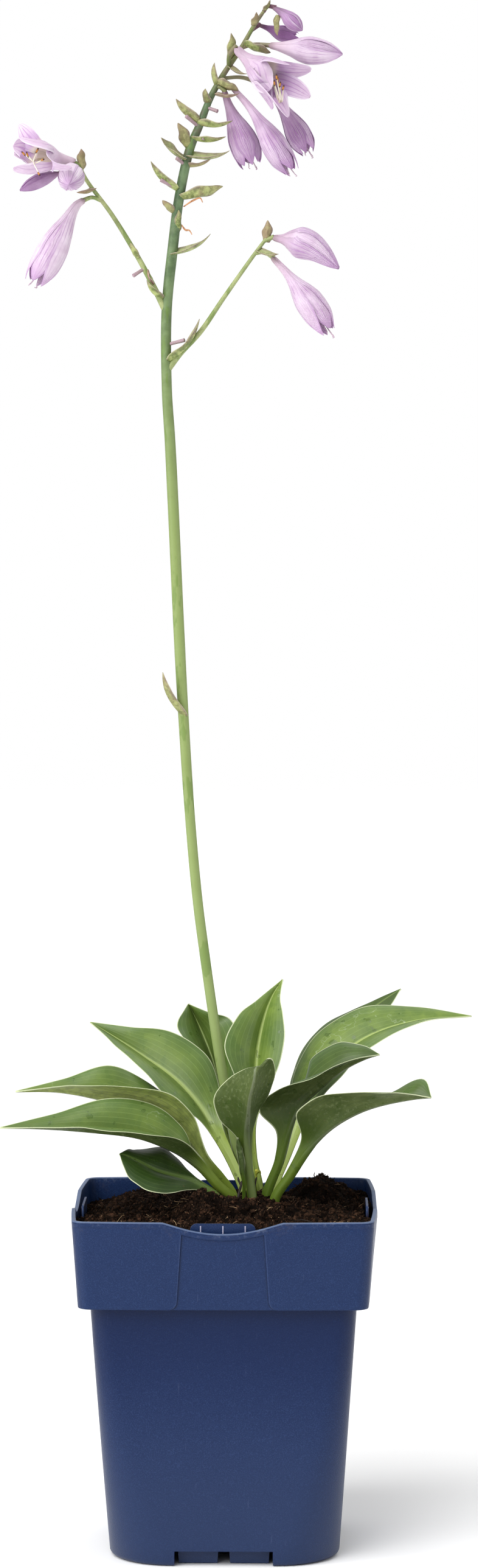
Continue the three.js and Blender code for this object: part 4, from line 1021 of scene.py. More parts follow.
def leafFinish():
    finish = Finish("hostaLeaf", Roughness=0.4, Specular_IOR_Level=0.42)
    across = finish.math("ABSOLUTE", finish.mark("across"))
    along, edge, under = (finish.mark(k) for k in ("along", "edge", "under"))
    freshAndLit, rib, pale = (finish.mark(k) for k in ("freshAndLit", "rib", "pale"))
    patch = finish.rise(finish.grain(45, 3, 0.55), 0.3, 0.7)
    mottle = finish.rise(finish.grain(260, 4, 0.6), 0.35, 0.7)
    # the upper side: deep green to light green, partly with age and partly as painted light on leaves that
    # face the light, bluer towards the margins
    deep = finish.between(patch, (0.011, 0.028, 0.003), (0.022, 0.05, 0.006))
    light = finish.between(patch, (0.105, 0.172, 0.026), (0.172, 0.252, 0.042))
    upper = finish.blend(freshAndLit, deep, light)
    freshAndLitShare = finish.rise(freshAndLit, -0.15, 0.45)
    upper = finish.over(upper, (0.08, 0.145, 0.055), finish.rise(across, 0.5, 0.98, 0.4), freshAndLitShare)
    upper = finish.over(upper, (0.07, 0.13, 0.03), mottle, 0.25, freshAndLitShare)
    blotch = finish.rise(finish.grain(95, 5, 0.65), 0.52, 0.6, 0.4)
    upper = finish.over(upper, (0.07, 0.135, 0.022), blotch, freshAndLitShare)
    # the underside: a greyer bloom over green, clouded, with small chafed places
    lower = finish.between(patch, (0.04, 0.068, 0.011), (0.066, 0.096, 0.024))
    clouded = finish.rise(finish.grain(70, 4, 0.6), 0.2, 0.75)
    bloomed = finish.math("MULTIPLY", clouded, finish.rise(along, 0.05, 0.55), clamp=True)
    lower = finish.over(lower, (0.175, 0.21, 0.08), pale, bloomed)
    # painted light: where pale is above 1, the underside is painted a bright yellow-green, as light shining
    # through the leaf
    lower = finish.over(lower, (0.42, 0.5, 0.13), finish.rise(pale, 1.0, 2.0))
    lower = finish.over(lower, (0.045, 0.07, 0.018), mottle, 0.45)
    chafed = finish.rise(finish.grain(520, 5, 0.7), 0.52, 0.64, 0.3)
    lower = finish.over(lower, (0.27, 0.32, 0.15), chafed, finish.rise(along, 0.0, 0.4))
    tone = finish.blend(under, upper, lower)
    # parallel veins, which meet at the tip because they follow the share across
    veins = finish.math("COSINE", finish.times(across, 2 * math.pi * leafShape["veins"]))
    vein = finish.times(finish.rise(veins, 0.84, 1.0), finish.rise(along, 0.0, 0.2))
    veinTone = finish.between(under, (0.3, 0.42, 0.13), (0.045, 0.07, 0.025))
    depth = finish.math("ADD", finish.math("ADD", 0.08, finish.times(freshAndLit, 0.1)), finish.times(under, 0.2))
    tone = finish.blend(finish.times(vein, depth), tone, veinTone)
    # the stalk is yellow-green on top and a full green below
    stalkTone = finish.between(freshAndLit, (0.07, 0.13, 0.01), (0.4, 0.5, 0.09))
    stalkUnder = finish.between(freshAndLit, (0.045, 0.09, 0.005), (0.14, 0.205, 0.02))
    stalkTone = finish.blend(finish.times(under, 0.85), stalkTone, stalkUnder)
    tone = finish.blend(finish.times(finish.fall(along, -0.2, 0.14), 0.88), tone, stalkTone)
    # the midrib: a pale band that is broad at the stalk and a line towards the tip, and a narrower keel below
    upwards = finish.math("SUBTRACT", 1.0, under)
    bandHalf = finish.math("ADD", finish.times(finish.math("SUBTRACT", 1.0, along), 2.6), 0.3)
    bandHalf = finish.times(bandHalf, finish.math("SUBTRACT", 1.0, finish.times(under, 0.66)))
    band = finish.fall(finish.math("DIVIDE", rib, bandHalf), 0.35, 1.1)
    ribTone = finish.between(freshAndLit, (0.1, 0.16, 0.035), (0.42, 0.52, 0.165))
    ribTone = finish.over(ribTone, (0.27, 0.3, 0.2), under)
    keelMark = finish.mark("keel")
    plainKeel = finish.math("ADD", 1.0, finish.math("MINIMUM", keelMark, 0.0))
    keel = finish.math("MAXIMUM", keelMark, finish.times(finish.rise(along, -0.1, 0.25, 0.6), plainKeel))
    shown = finish.math("ADD", finish.times(under, keel, 0.7), finish.times(upwards, 0.75))
    tone = finish.blend(finish.times(band, shown), tone, ribTone)
    # a few small brown spots near the stalk
    freckles = finish.times(finish.rise(finish.grain(700, 2, 0.5), 0.7, 0.74), finish.fall(along, 0.1, 0.5))
    tone = finish.over(tone, (0.14, 0.09, 0.035), freckles, 0.5)
    # wet spots, dry trails, and the thin cream margin
    spots = finish.rise(finish.grain(190, 2, 0.4), 0.67, 0.7)
    tone = finish.over(tone, (0.045, 0.08, 0.02), spots, 0.35)
    trail = finish.fall(finish.away(finish.grain(34, 4, 0.6), 0.5), 0.001, 0.006)
    trail = finish.times(trail, finish.rise(finish.grain(22, 1), 0.52, 0.58))
    trail = finish.times(trail, finish.times(finish.mark("trails"), upwards))
    tone = finish.over(tone, (0.5, 0.58, 0.4), trail, 0.38)
    cream = finish.fall(edge, 0.2, 0.62)
    tone = finish.over(tone, (0.62, 0.67, 0.42), cream, finish.rise(along, -0.1, 0.1, 0.85))
    gloss = finish.between(spots, (0.42, 0.42, 0.42), (0.2, 0.2, 0.2))
    relief = finish.bump(finish.times(veins, finish.rise(along, 0.1, 0.35)), 0.00012, 0.25)
    relief = finish.bump(mottle, 0.00015, 0.25, under=relief)
    shine = finish.math("SUBTRACT", 0.42, finish.times(under, 0.24))
    return finish.end(Base_Color=tone, Roughness=gloss, Specular_IOR_Level=shine, Normal=relief)


def leafShell(leaf, number):
    s = {**leafShape, **leaf}
    stations = leaf["blade"]
    rib = [leaf["root"], *leaf["stalk"], *[station[0] for station in stations], leaf["tip"]]
    ribPath = pathThrough(rib)
    ribPoints = np.array(rib, float)
    spans = len(rib) - 1
    firstBlade = len(leaf["stalk"]) + 1

    def margin(which):
        towards = np.array(stations[0][which], float) - ribPoints[firstBlade]
        away = unit(np.array(stations[-1][which], float) - ribPoints[-2])
        low = []
        for i in range(firstBlade):
            along = tangents(ribPath, i / spans)[0]
            low.append(ribPoints[i] + s["stalkHalf"] * unit(towards - along * (towards @ along)))
        return pathThrough([*low, *[station[which] for station in stations], ribPoints[-1] + 0.4 * away])

    t = np.linspace(0, 1, s["rows"])
    place = t * spans
    centre = ribPath(t)
    along = tangents(ribPath, t)
    toLeft = margin(1)(t) - centre
    toRight = margin(2)(t) - centre
    leftUp = unit(np.cross(along, toLeft))
    rightUp = unit(np.cross(toRight, along))
    inBlade = smooth((place - firstBlade + 1.2) / 2)
    inTip = smooth((place - spans + 2) / 2)
    half = 1 - (1 - np.linspace(0, 1, s["across"])) ** 1.2
    a = np.concatenate([-half[:0:-1], half])
    soft = 0.05
    reachLeft = (np.sqrt(a**2 + soft**2) - a) / 2
    reachRight = (np.sqrt(a**2 + soft**2) + a) / 2
    arch = 4 * np.abs(a) * (1 - np.abs(a)) * s["bulge"]
    lengthLeft = np.linalg.norm(toLeft, axis=1)
    lengthRight = np.linalg.norm(toRight, axis=1)
    width = np.where(a[None, :] < 0, lengthLeft[:, None], lengthRight[:, None])
    up = np.where((a < 0)[None, :, None], leftUp[:, None], rightUp[:, None])
    furrow = np.abs(np.cos(math.pi * s["veins"] * a)) ** 6 * (1 - np.abs(a) ** 6)
    sink = s["veinDepth"] * furrow[None, :] * inBlade[:, None] * np.clip(width / 7, 0, 1)
    phase = number * 1.7 + np.where(a < 0, 0.0, 2.1)
    wave = np.sin(place[:, None] * 2.6 + phase[None, :])
    wave = wave + 0.4 * np.sin(place[:, None] * 6.1 + 2 * phase[None, :])
    ripple = s["ripple"] * wave * np.abs(a[None, :]) ** 2.5 * (inBlade * (1 - inTip))[:, None]
    ripple = ripple * np.clip(width / 10, 0, 1)
    upper = centre[:, None] + toLeft[:, None] * reachLeft[None, :, None]
    upper = upper + toRight[:, None] * reachRight[None, :, None]
    upper = upper + up * ((arch[None, :] * width * inBlade[:, None]) - sink + ripple)[..., None]
    normal = unit(np.cross(np.gradient(upper, axis=1), np.gradient(upper, axis=0)))
    bladeRib = s["ribThickness"] + (s["thickness"] - s["ribThickness"]) * inTip
    middle = s["stalkThickness"] + (bladeRib - s["stalkThickness"]) * inBlade
    rim = s["stalkThickness"] / 2 + (s["thickness"] - s["stalkThickness"] / 2) * inBlade
    nearRib = np.exp(-((np.abs(a[None, :]) * np.maximum(width, 3) / 1.6) ** 2)) * inBlade[:, None]
    nearRib = nearRib + (1 - np.abs(a[None, :])) * (1 - inBlade[:, None])
    thick = rim[:, None] + (middle - rim)[:, None] * nearRib
    power = 2.5 + 14 * inBlade
    thick = thick * np.clip(1 - np.abs(a)[None, :] ** power[:, None], 0.02, 1) ** 0.5
    lower = upper - normal * thick[..., None]
    rings = np.concatenate([upper, lower[:, ::-1]], axis=1)
    both = np.concatenate([a, a[::-1]])
    isUnder = np.concatenate([np.zeros(len(a)), np.ones(len(a))])
    edge = width * (1 - np.abs(a))[None, :]
    shape = rings.shape[:2]
    marks = {
        "across": np.broadcast_to(both, shape),
        "along": np.broadcast_to(((place - firstBlade) / (spans - firstBlade))[:, None], shape),
        "edge": np.concatenate([edge, edge[:, ::-1]], axis=1),
        "under": np.broadcast_to(isUnder, shape),
        **{key: np.full(shape, float(leaf.get(key, 0))) for key in ("freshAndLit", "pale", "trails", "keel")},
        "rib": np.concatenate([width * np.abs(a), (width * np.abs(a))[:, ::-1]], axis=1),
    }
    return ringShell(rings, marks)


leafGreen = leafFinish()
for number, (node, leaf) in enumerate(leaves.items()):
    piece = newPiece("hostaLeaf" + node[-2:], [leafShell(leaf, number)], leafGreen)
    hand(piece, "leaf", node)
print("leaves made")


# The scape

stemPath = {
    "points": [
        [12.5, 5, 157], [11.5, 5.5, 166], [7, 5.5, 180], [2, 3, 205], [-3, 0.5, 233], [-6.6, -1, 257.6],
        [-9.7, -2, 280], [-13.1, -3, 306.5], [-16.5, -4, 344], [-19.9, -5, 397], [-21.9, -6, 436.5],
        [-24.4, -6, 492], [-26, -6, 525], [-27.4, -6, 548], [-27.5, -5, 585], [-24.6, -5, 614],
        [-21.7, -4, 637], [-16.6, -3, 660.5], [-11.9, -2, 672], [-7.2, -1, 684], [-0.8, 0, 695.6],
        [6.9, 1, 707], [13.7, 2, 718.7], [19, 2, 726.4],
    ],
    "radii": [2.6, 2.5, 2.4, 2.4, 2.4, 2.4, 2.6, 2.6, 2.4, 2.5, 2.3, 1.85, 1.4, 1.05, 0.75],
}
branches = {
    "points": [
        [
            [-27.2, -5, 583], [-33, -6, 595], [-41, -7, 610], [-53, -9, 629.5], [-65.1, -12, 646],
            [-68.5, -13, 653.5],
        ],
        [
            [-27.2, -6, 557], [-21, -6.5, 565], [-11.5, -8, 575], [-0.4, -9, 591], [13.8, -11, 610.8],
            [20, -11, 619],
        ],
    ],
    "radii": [1.6, 1.3, 1.0, 0.8],
}
stubs = [
    [[-20, -5, 654], [-22.6, -7.5, 655.8]],
    [[-24, -5, 641], [-30, -8.4, 645.6]],
    [[-13, -3, 665], [-9.6, -6.8, 665.2]],
    [[-13.5, -3, 671.5], [-18.2, -6.8, 675.4]],
    [[-28, -7, 570], [-19, -9, 571]],
    [[-38, -6.6, 604], [-43, -9.5, 601]],
    [[-9, -1.5, 680], [-3.6, -4, 678]],
]
# dry ends that curl out of two bracts
curls = [
    [[-20.5, -5, 625], [-18.5, -6.5, 622.5], [-16.8, -7, 622.3], [-15.5, -7, 620.3]],
    [[-19.5, -5, 633.5], [-15, -7, 636.2], [-11.6, -8, 637.2], [-10.5, -8, 635.2]],
]
pedicels = [
    [[17.8, 2, 724.6], [19.8, 2.8, 727.4], [22.6, 3.1, 727.1]],
    [[12, 2, 716.5], [15.2, 5, 718.8]],
    [[7, 1, 707.5], [13, 1.5, 709.5], [20.2, 0, 709]],
    [[1.6, 0.4, 699.4], [2, -3.6, 704.6], [4.6, -4.5, 707.5]],
    [[-4.5, -0.8, 689], [-2.6, -1.2, 689.5], [-0.8, -1.2, 688.1]],
    [[-3.5, -0.5, 691], [-0.5, -0.3, 692.3], [2.6, -0.8, 690]],
    [[-2, 0.2, 694], [8, 4.5, 694.5], [16.4, 6, 691.7]],
    [[-68, -13, 652], [-70, -14.3, 653.3]],
    [[-66, -12.3, 648], [-72, -15, 648.6], [-76, -16.5, 648.5]],
    [[-68.2, -13.4, 652], [-69, -15.2, 651]],
    [[-58, -10, 636], [-62, -12, 637.3], [-65.2, -13, 636.2]],
    [[19, -11, 617], [21.9, -12, 618.4]],
    [[14, -11, 611], [18.5, -11, 611.7], [21.8, -11, 609.8]],
]
# base, tip, width, and how dry (brown) each one is
bracts = [
    [[-19.6, -6, 394], [-31.4, -14, 413.5], 5.5, 0.3],
    [[-30, -6, 590], [-38, -9, 598], 5, 0.1],
    [[-34, -7, 597], [-37, -9, 604], 3.5, 1.0],
    [[-41, -8, 609], [-44.5, -10, 616], 3, 0.2],
    [[-26, -7, 561], [-9.7, -11, 579.5], 6, 0.1],
    [[-22.8, -4.6, 621], [-21, -9.5, 631], 3, 0.1],
    [[-25.5, -6, 611], [-6, -8, 618], 5.5, 0.1],
    [[-21, -5, 637], [-1.5, -7.5, 643], 6, 0.2],
    [[-23, -5, 641], [-36.2, -8, 652.7], 6, 0.1],
    [[-24, -5, 630], [-28.5, -9.5, 636], 3.5, 0.4],
    [[-18.5, -4, 652], [-6, -3, 654.5], 3.5, 0.5],
    [[-18, -4, 657], [2, -7, 656.5], 6, 0.2],
    [[-19, -4, 655], [-30.8, -7.5, 665], 6, 0.2],
    [[-15.5, -3.5, 665], [0, -7.5, 664], 5, 0.2],
    [[-17.5, -4, 661], [-20.5, -9.5, 672], 4.5, 0.4],
    [[-13, -3, 672], [3.7, -6, 671], 5.5, 0.1],
    [[-13, -3, 673], [-24, -6.5, 682], 6, 0.3],
    [[-8.5, -2, 681.5], [-10.5, -6, 688], 4, 0.2],
    [[-4.5, -1, 690], [-6.6, -6, 700], 4, 0.3],
    [[2.5, 0, 702.5], [4.3, -3.5, 714], 4, 0.3],
    [[13, 1.5, 718], [15.8, -3, 723.5], 3, 0.5],
    [[18.5, 2, 725], [21.8, 1, 729.8], 4, 0.3],
    [[1.8, 0.3, 699], [9, -6, 694], 3.5, 0.4],
    [[8.8, 0.5, 709.3], [20.8, -2.6, 705.6], 4.6, 0.1],
    [[-67, -12.5, 650], [-66.4, -14.5, 659.5], 4, 0.5],
    [[-61, -10.8, 641], [-68, -17, 638.5], 4.5, 0.6],
    [[19, -11, 616.5], [20.9, -12.5, 626.3], 4, 0.5],
    [[15, -11, 612.5], [24.5, -17, 609], 4.5, 0.2],
    [[-3.6, -2.6, 691.2], [5.8, -5.6, 688], 5, 0.35],
    [[-4.6, -3, 685.6], [6.5, -5.4, 684.6], 4.2, 0.6],
    [[24.4, 1.8, 723.4], [23.2, -0.6, 713.8], 2.7, 0.4],
]
bractShape = {
    "rows": 20, "across": 13, "thickness": 0.5, "openAngle": 1.15, "roll": 0.5, "breadth": 1.18,
    "outline": [
        [0, 0.3], [0.08, 0.42], [0.25, 0.5], [0.5, 0.5], [0.7, 0.42], [0.84, 0.28], [0.94, 0.14], [1, 0.03],
    ],
}


def stemFinish(name, *tones):
    # tones: the lower part's darker and lighter green, the upper part's two, and the top's
    finish = Finish(name, Roughness=0.45, Specular_IOR_Level=0.35)
    height = finish.axis("Z")
    low = finish.between(finish.grain(60, 2), tones[0], tones[1])
    high = finish.between(finish.rise(finish.grain(140, 4, 0.6), 0.3, 0.7), tones[2], tones[3])
    tone = finish.blend(finish.rise(height, 0.46, 0.64), low, high)
    tone = finish.over(tone, tones[4], finish.rise(height, 0.68, 0.7, 0.85))
    blush = finish.times(finish.rise(height, 0.6, 0.68), finish.rise(finish.grain(170, 4, 0.6), 0.5, 0.62))
    tone = finish.over(tone, (0.13, 0.075, 0.07), blush, 0.55)
    tone = finish.over(tone, (0.09, 0.13, 0.035), finish.fall(height, 0.165, 0.2), 0.8)
    blot = finish.rise(finish.grain(150, 3, 0.6, stretch=(1, 1, 0.28)), 0.56, 0.6)
    tone = finish.over(tone, (0.12, 0.2, 0.035), blot, 0.55)
    tone = finish.over(tone, (0.12, 0.13, 0.06), finish.rise(finish.grain(900, 2, 0.5), 0.7, 0.76, 0.35))
    streak = finish.bump(finish.grain(400, 2, 0.5, stretch=(1, 1, 0.06)), 0.00006, 0.4)
    return finish.end(Base_Color=tone, Normal=streak)


def bractFinish():
    finish = Finish("bractGreen", Roughness=0.5, Specular_IOR_Level=0.3)
    across = finish.math("ABSOLUTE", finish.mark("across"))
    patch = finish.rise(finish.grain(330, 5, 0.65), 0.36, 0.64)
    tone = finish.between(patch, (0.13, 0.18, 0.045), (0.4, 0.46, 0.17))
    tone = finish.over(tone, (0.16, 0.085, 0.075), finish.rise(finish.grain(120, 4, 0.6), 0.52, 0.64, 0.45))
    tone = finish.over(tone, (0.42, 0.46, 0.24), finish.mark("inside"), 0.5)
    tone = finish.over(tone, (0.28, 0.19, 0.14), finish.rise(finish.mark("along"), 0.55, 1.0, 0.45))
    brown = finish.between(finish.grain(260, 4), (0.2, 0.1, 0.07), (0.46, 0.3, 0.22))
    tone = finish.blend(finish.rise(finish.mark("dry"), 0.0, 1.0), tone, brown)
    purple = finish.times(finish.rise(across, 0.45, 0.95), finish.rise(finish.grain(220, 3), 0.3, 0.6))
    tone = finish.over(tone, (0.2, 0.11, 0.14), purple, 0.6)
    tone = finish.over(tone, (0.5, 0.44, 0.33), finish.rise(across, 0.86, 1.0, 0.6))
    veins = finish.math("COSINE", finish.times(across, 30.0))
    tone = finish.over(tone, (0.12, 0.13, 0.05), finish.rise(veins, 0.5, 1.0, 0.13))
    return finish.end(Base_Color=tone, Normal=finish.bump(veins, 0.00004, 0.3))


def plainFinish(name, dark, light):
    finish = Finish(name, Roughness=0.6, Specular_IOR_Level=0.3)
    tone = finish.between(finish.rise(finish.grain(420, 4, 0.6), 0.35, 0.65), dark, light)
    return finish.end(Base_Color=tone, Normal=finish.bump(finish.grain(900, 3), 0.0002, 0.5))


def stubFinish():
    finish = Finish("pedicelMauve", Roughness=0.5, Specular_IOR_Level=0.3)
    tone = finish.between(finish.grain(180, 3), (0.3, 0.22, 0.2), (0.42, 0.28, 0.36))
    return finish.end(Base_Color=tone)


def sweepTree(name):
    # A round stalk along each curve, as thick as the curve's own radius at each point
    sheet, sockets = newTree(name, {"Sides": "Int", "Thickness": "Float", "Finish": "Material"})
    given = sheet.add("NodeGroupInput").outputs
    circle = {"Resolution": given["Sides"], "Radius": given["Thickness"]}
    profile = sheet.add("GeometryNodeCurvePrimitiveCircle", circle)
    inputs = {"Curve": given["Geometry"], "Profile Curve": profile.outputs[0], "Fill Caps": True}
    swept = sheet.add("GeometryNodeCurveToMesh", inputs)
    if "Scale" in swept.inputs:
        sheet.feed(swept, {"Scale": sheet.add("GeometryNodeInputRadius").outputs[0]})
    sheet.wear(swept.outputs[0], given["Finish"])
    return sheet, sockets


def sweptPiece(name, paths, finish, sides):
    # paths: pairs of points and radii, both in millimetres
    curve = bpy.data.curves.new(name, "CURVE")
    curve.dimensions = "3D"
    for points, radii in paths:
        spline = curve.splines.new("POLY")
        spline.points.add(len(points) - 1)
        fours = np.column_stack([np.array(points) * mm, np.ones(len(points))])
        spline.points.foreach_set("co", fours.ravel())
        spline.points.foreach_set("radius", np.array(radii) * mm)
    values = {"Sides": sides, "Thickness": 1.0, "Finish": finish}
    piece = grown(linked(name, curve), stalkSheet, stalkSockets, values)
    piece.data.shade_smooth()
    return piece


def steppedPath(points, radii, rows):
    shares = np.linspace(0, 1, rows)
    return pathThrough(points)(shares), np.interp(shares, np.linspace(0, 1, len(radii)), radii)


def bractShell(base, tip, width, dry, number):
    # A boat whose hollow side faces up and towards the stem, rolled a little towards the front or the back
    s = bractShape
    base, tip = np.array(base, float), np.array(tip, float)
    way = tip - base
    length = np.linalg.norm(way)
    along = way / length
    hollow = np.array([0, 0, 1.0]) - along * along[2]
    if np.linalg.norm(hollow) < 0.35:
        hollow = np.array([0, 1.0, 0]) - along * along[1]
    hollow = unit(hollow)
    side = unit(np.cross(along, hollow))
    share = np.linspace(0, 1, s["rows"])
    bend = math.sin(number * 5.1)
    turn = (s["roll"] * math.sin(number * 2.4) + 0.6 * bend * share)[:, None]
    hollow, side = hollow * np.cos(turn) + side * np.sin(turn), side * np.cos(turn) - hollow * np.sin(turn)
    half = np.interp(share, *np.transpose(s["outline"])) * width * s["breadth"]
    c = np.linspace(-1, 1, s["across"])
    opening = s["openAngle"] * (1 - 0.3 * share)
    radius = half / np.sin(opening) * 0.98
    keel = base + way * share[:, None] - hollow * (0.06 * length * np.sin(math.pi * share))[:, None]
    keel = keel + hollow * (0.13 * length * share**4)[:, None]
    keel = keel + side * (0.1 * length * bend * share**3)[:, None]
    angle = c[None, :] * opening[:, None]
    frill = 0.16 * np.sin(10 * share[:, None] + number + 2.6 * np.sign(c)[None, :])
    frill = frill * np.abs(c)[None, :] ** 3 * half[:, None]
    crest = 0.12 * half[:, None] * np.exp(-((c / 0.16) ** 2))[None, :]
    skin = keel[:, None] + side[:, None] * (radius[:, None] * np.sin(angle) + frill)[..., None]
    skin = skin + hollow[:, None] * (radius[:, None] * (1 - np.cos(angle)) - crest + 0.5 * frill)[..., None]
    normal = unit(np.cross(np.gradient(skin, axis=1), np.gradient(skin, axis=0)))
    normal = normal * np.sign((normal[:, s["across"] // 2] * hollow).sum(-1).mean())
    thick = s["thickness"] * (1 - 0.7 * np.abs(c)[None, :] ** 6) * (1 - 0.5 * share[:, None])
    inner = skin + normal * thick[..., None]
    rings = np.concatenate([skin, inner[:, ::-1]], axis=1)
    shape = rings.shape[:2]
    marks = {
        "across": np.broadcast_to(np.concatenate([c, c[::-1]]), shape),
        "along": np.broadcast_to(share[:, None], shape),
        "dry": np.full(shape, float(dry)),
        "inside": np.broadcast_to(np.concatenate([np.zeros(len(c)), np.ones(len(c))]), shape),
    }
    return ringShell(rings, marks)


stalkSheet, stalkSockets = sweepTree("roundStalks")
stalkGreen = stemFinish(
    "scapeGreen",
    (0.19, 0.255, 0.07), (0.25, 0.32, 0.115), (0.05, 0.095, 0.04), (0.14, 0.21, 0.1), (0.2, 0.19, 0.08),
)
branchGreen = stemFinish(
    "branchGreen",
    (0.27, 0.32, 0.12), (0.36, 0.4, 0.18), (0.2, 0.25, 0.09), (0.36, 0.4, 0.18), (0.2, 0.16, 0.1),
)
stalks = [steppedPath(stemPath["points"], stemPath["radii"], 240)]
stalks += [steppedPath(points, branches["radii"], 80) for points in branches["points"]]
hand(sweptPiece("scapeStem", stalks[:1], stalkGreen, 20), "scape", "scape")
hand(sweptPiece("scapeBranches", stalks[1:], branchGreen, 16), "scape")


def nearestOnStalks(point):
    along = np.vstack([points for points, _ in stalks])
    return along[np.argmin(np.linalg.norm(along - point, axis=1))]


def rooted(points, spare=0.0):
    # starts a side stalk inside the stalk it grows from, and runs it a little past its end
    points = np.array(points, float)
    past = points[-1] + unit(points[-1] - points[-2]) * spare
    return [nearestOnStalks(points[0]), *points[1:-1], past]


shortStalks = [steppedPath(rooted(points, 1.3), [0.95, 0.9, 1.0, 1.15], 18) for points in pedicels]
hand(sweptPiece("pedicels", shortStalks[2:], branchGreen, 14), "scape")
pedicelPurple = plainFinish("pedicelPurple", (0.09, 0.035, 0.06), (0.2, 0.1, 0.13))
hand(sweptPiece("darkPedicels", shortStalks[:2], pedicelPurple, 14), "scape")
cutStalks = [steppedPath(rooted(points), [0.85, 0.8, 0.95], 12) for points in stubs]
hand(sweptPiece("cutPedicels", cutStalks, stubFinish(), 12), "scape")
curlOrange = plainFinish("curlOrange", (0.3, 0.12, 0.05), (0.6, 0.32, 0.16))
curlPaths = [steppedPath(points, [0.3, 0.5, 0.35, 0.2], 20) for points in curls]
hand(sweptPiece("dryCurls", curlPaths, curlOrange, 8), "scape")
barkBrown = plainFinish("twigBrown", (0.006, 0.004, 0.003), (0.028, 0.018, 0.012))
twigTaper = np.array([1, 0.8, 0.9, 0.4])
twigPaths = [steppedPath(points, twigTaper * thick, 14) for points, thick in twigs]
hand(sweptPiece("twigs", twigPaths, barkBrown, 7), "peat")
sproutGreen = plainFinish("sproutGreen", (0.16, 0.2, 0.02), (0.5, 0.5, 0.06))
sproutPaths = [steppedPath(points, [0.3, 0.75, 0.8, 0.1], 16) for points in sprout]
hand(sweptPiece("sprout", sproutPaths, sproutGreen, 10), "peat")
bractShells = [bractShell(*bract, number) for number, bract in enumerate(bracts)]
hand(newPiece("bracts", bractShells, bractFinish()), "scape")
print("scape made")


# The blooms

# Radius as a share of the girth, from the neck to the mouth, for each kind of bloom
bloomOutlines = {
    "bud": [
        [0, 0.05], [0.012, 0.2], [0.1, 0.26], [0.3, 0.55], [0.5, 0.9], [0.64, 1], [0.8, 0.84], [0.92, 0.46],
        [1, 0.03],
    ],
    "wilted": [
        [0, 0.05], [0.012, 0.17], [0.12, 0.26], [0.28, 0.7], [0.42, 1], [0.6, 0.95], [0.8, 0.64],
        [0.92, 0.34], [1, 0.06],
    ],
    "trumpet": [
        [0, 0.05], [0.012, 0.17], [0.15, 0.21], [0.28, 0.27], [0.4, 0.44], [0.53, 0.74], [0.68, 0.98],
        [0.82, 0.98], [0.92, 0.82], [1, 0.58],
    ],
    "open": [[0, 0.06], [0.02, 0.24], [0.22, 0.27], [0.42, 0.42], [0.62, 0.72], [0.82, 0.92], [1, 1]],
}
petalShape = {"rows": 46, "across": 17, "thickness": 0.24, "overlap": 1.3, "tubeOverlap": 1.98, "tuck": 0.34}
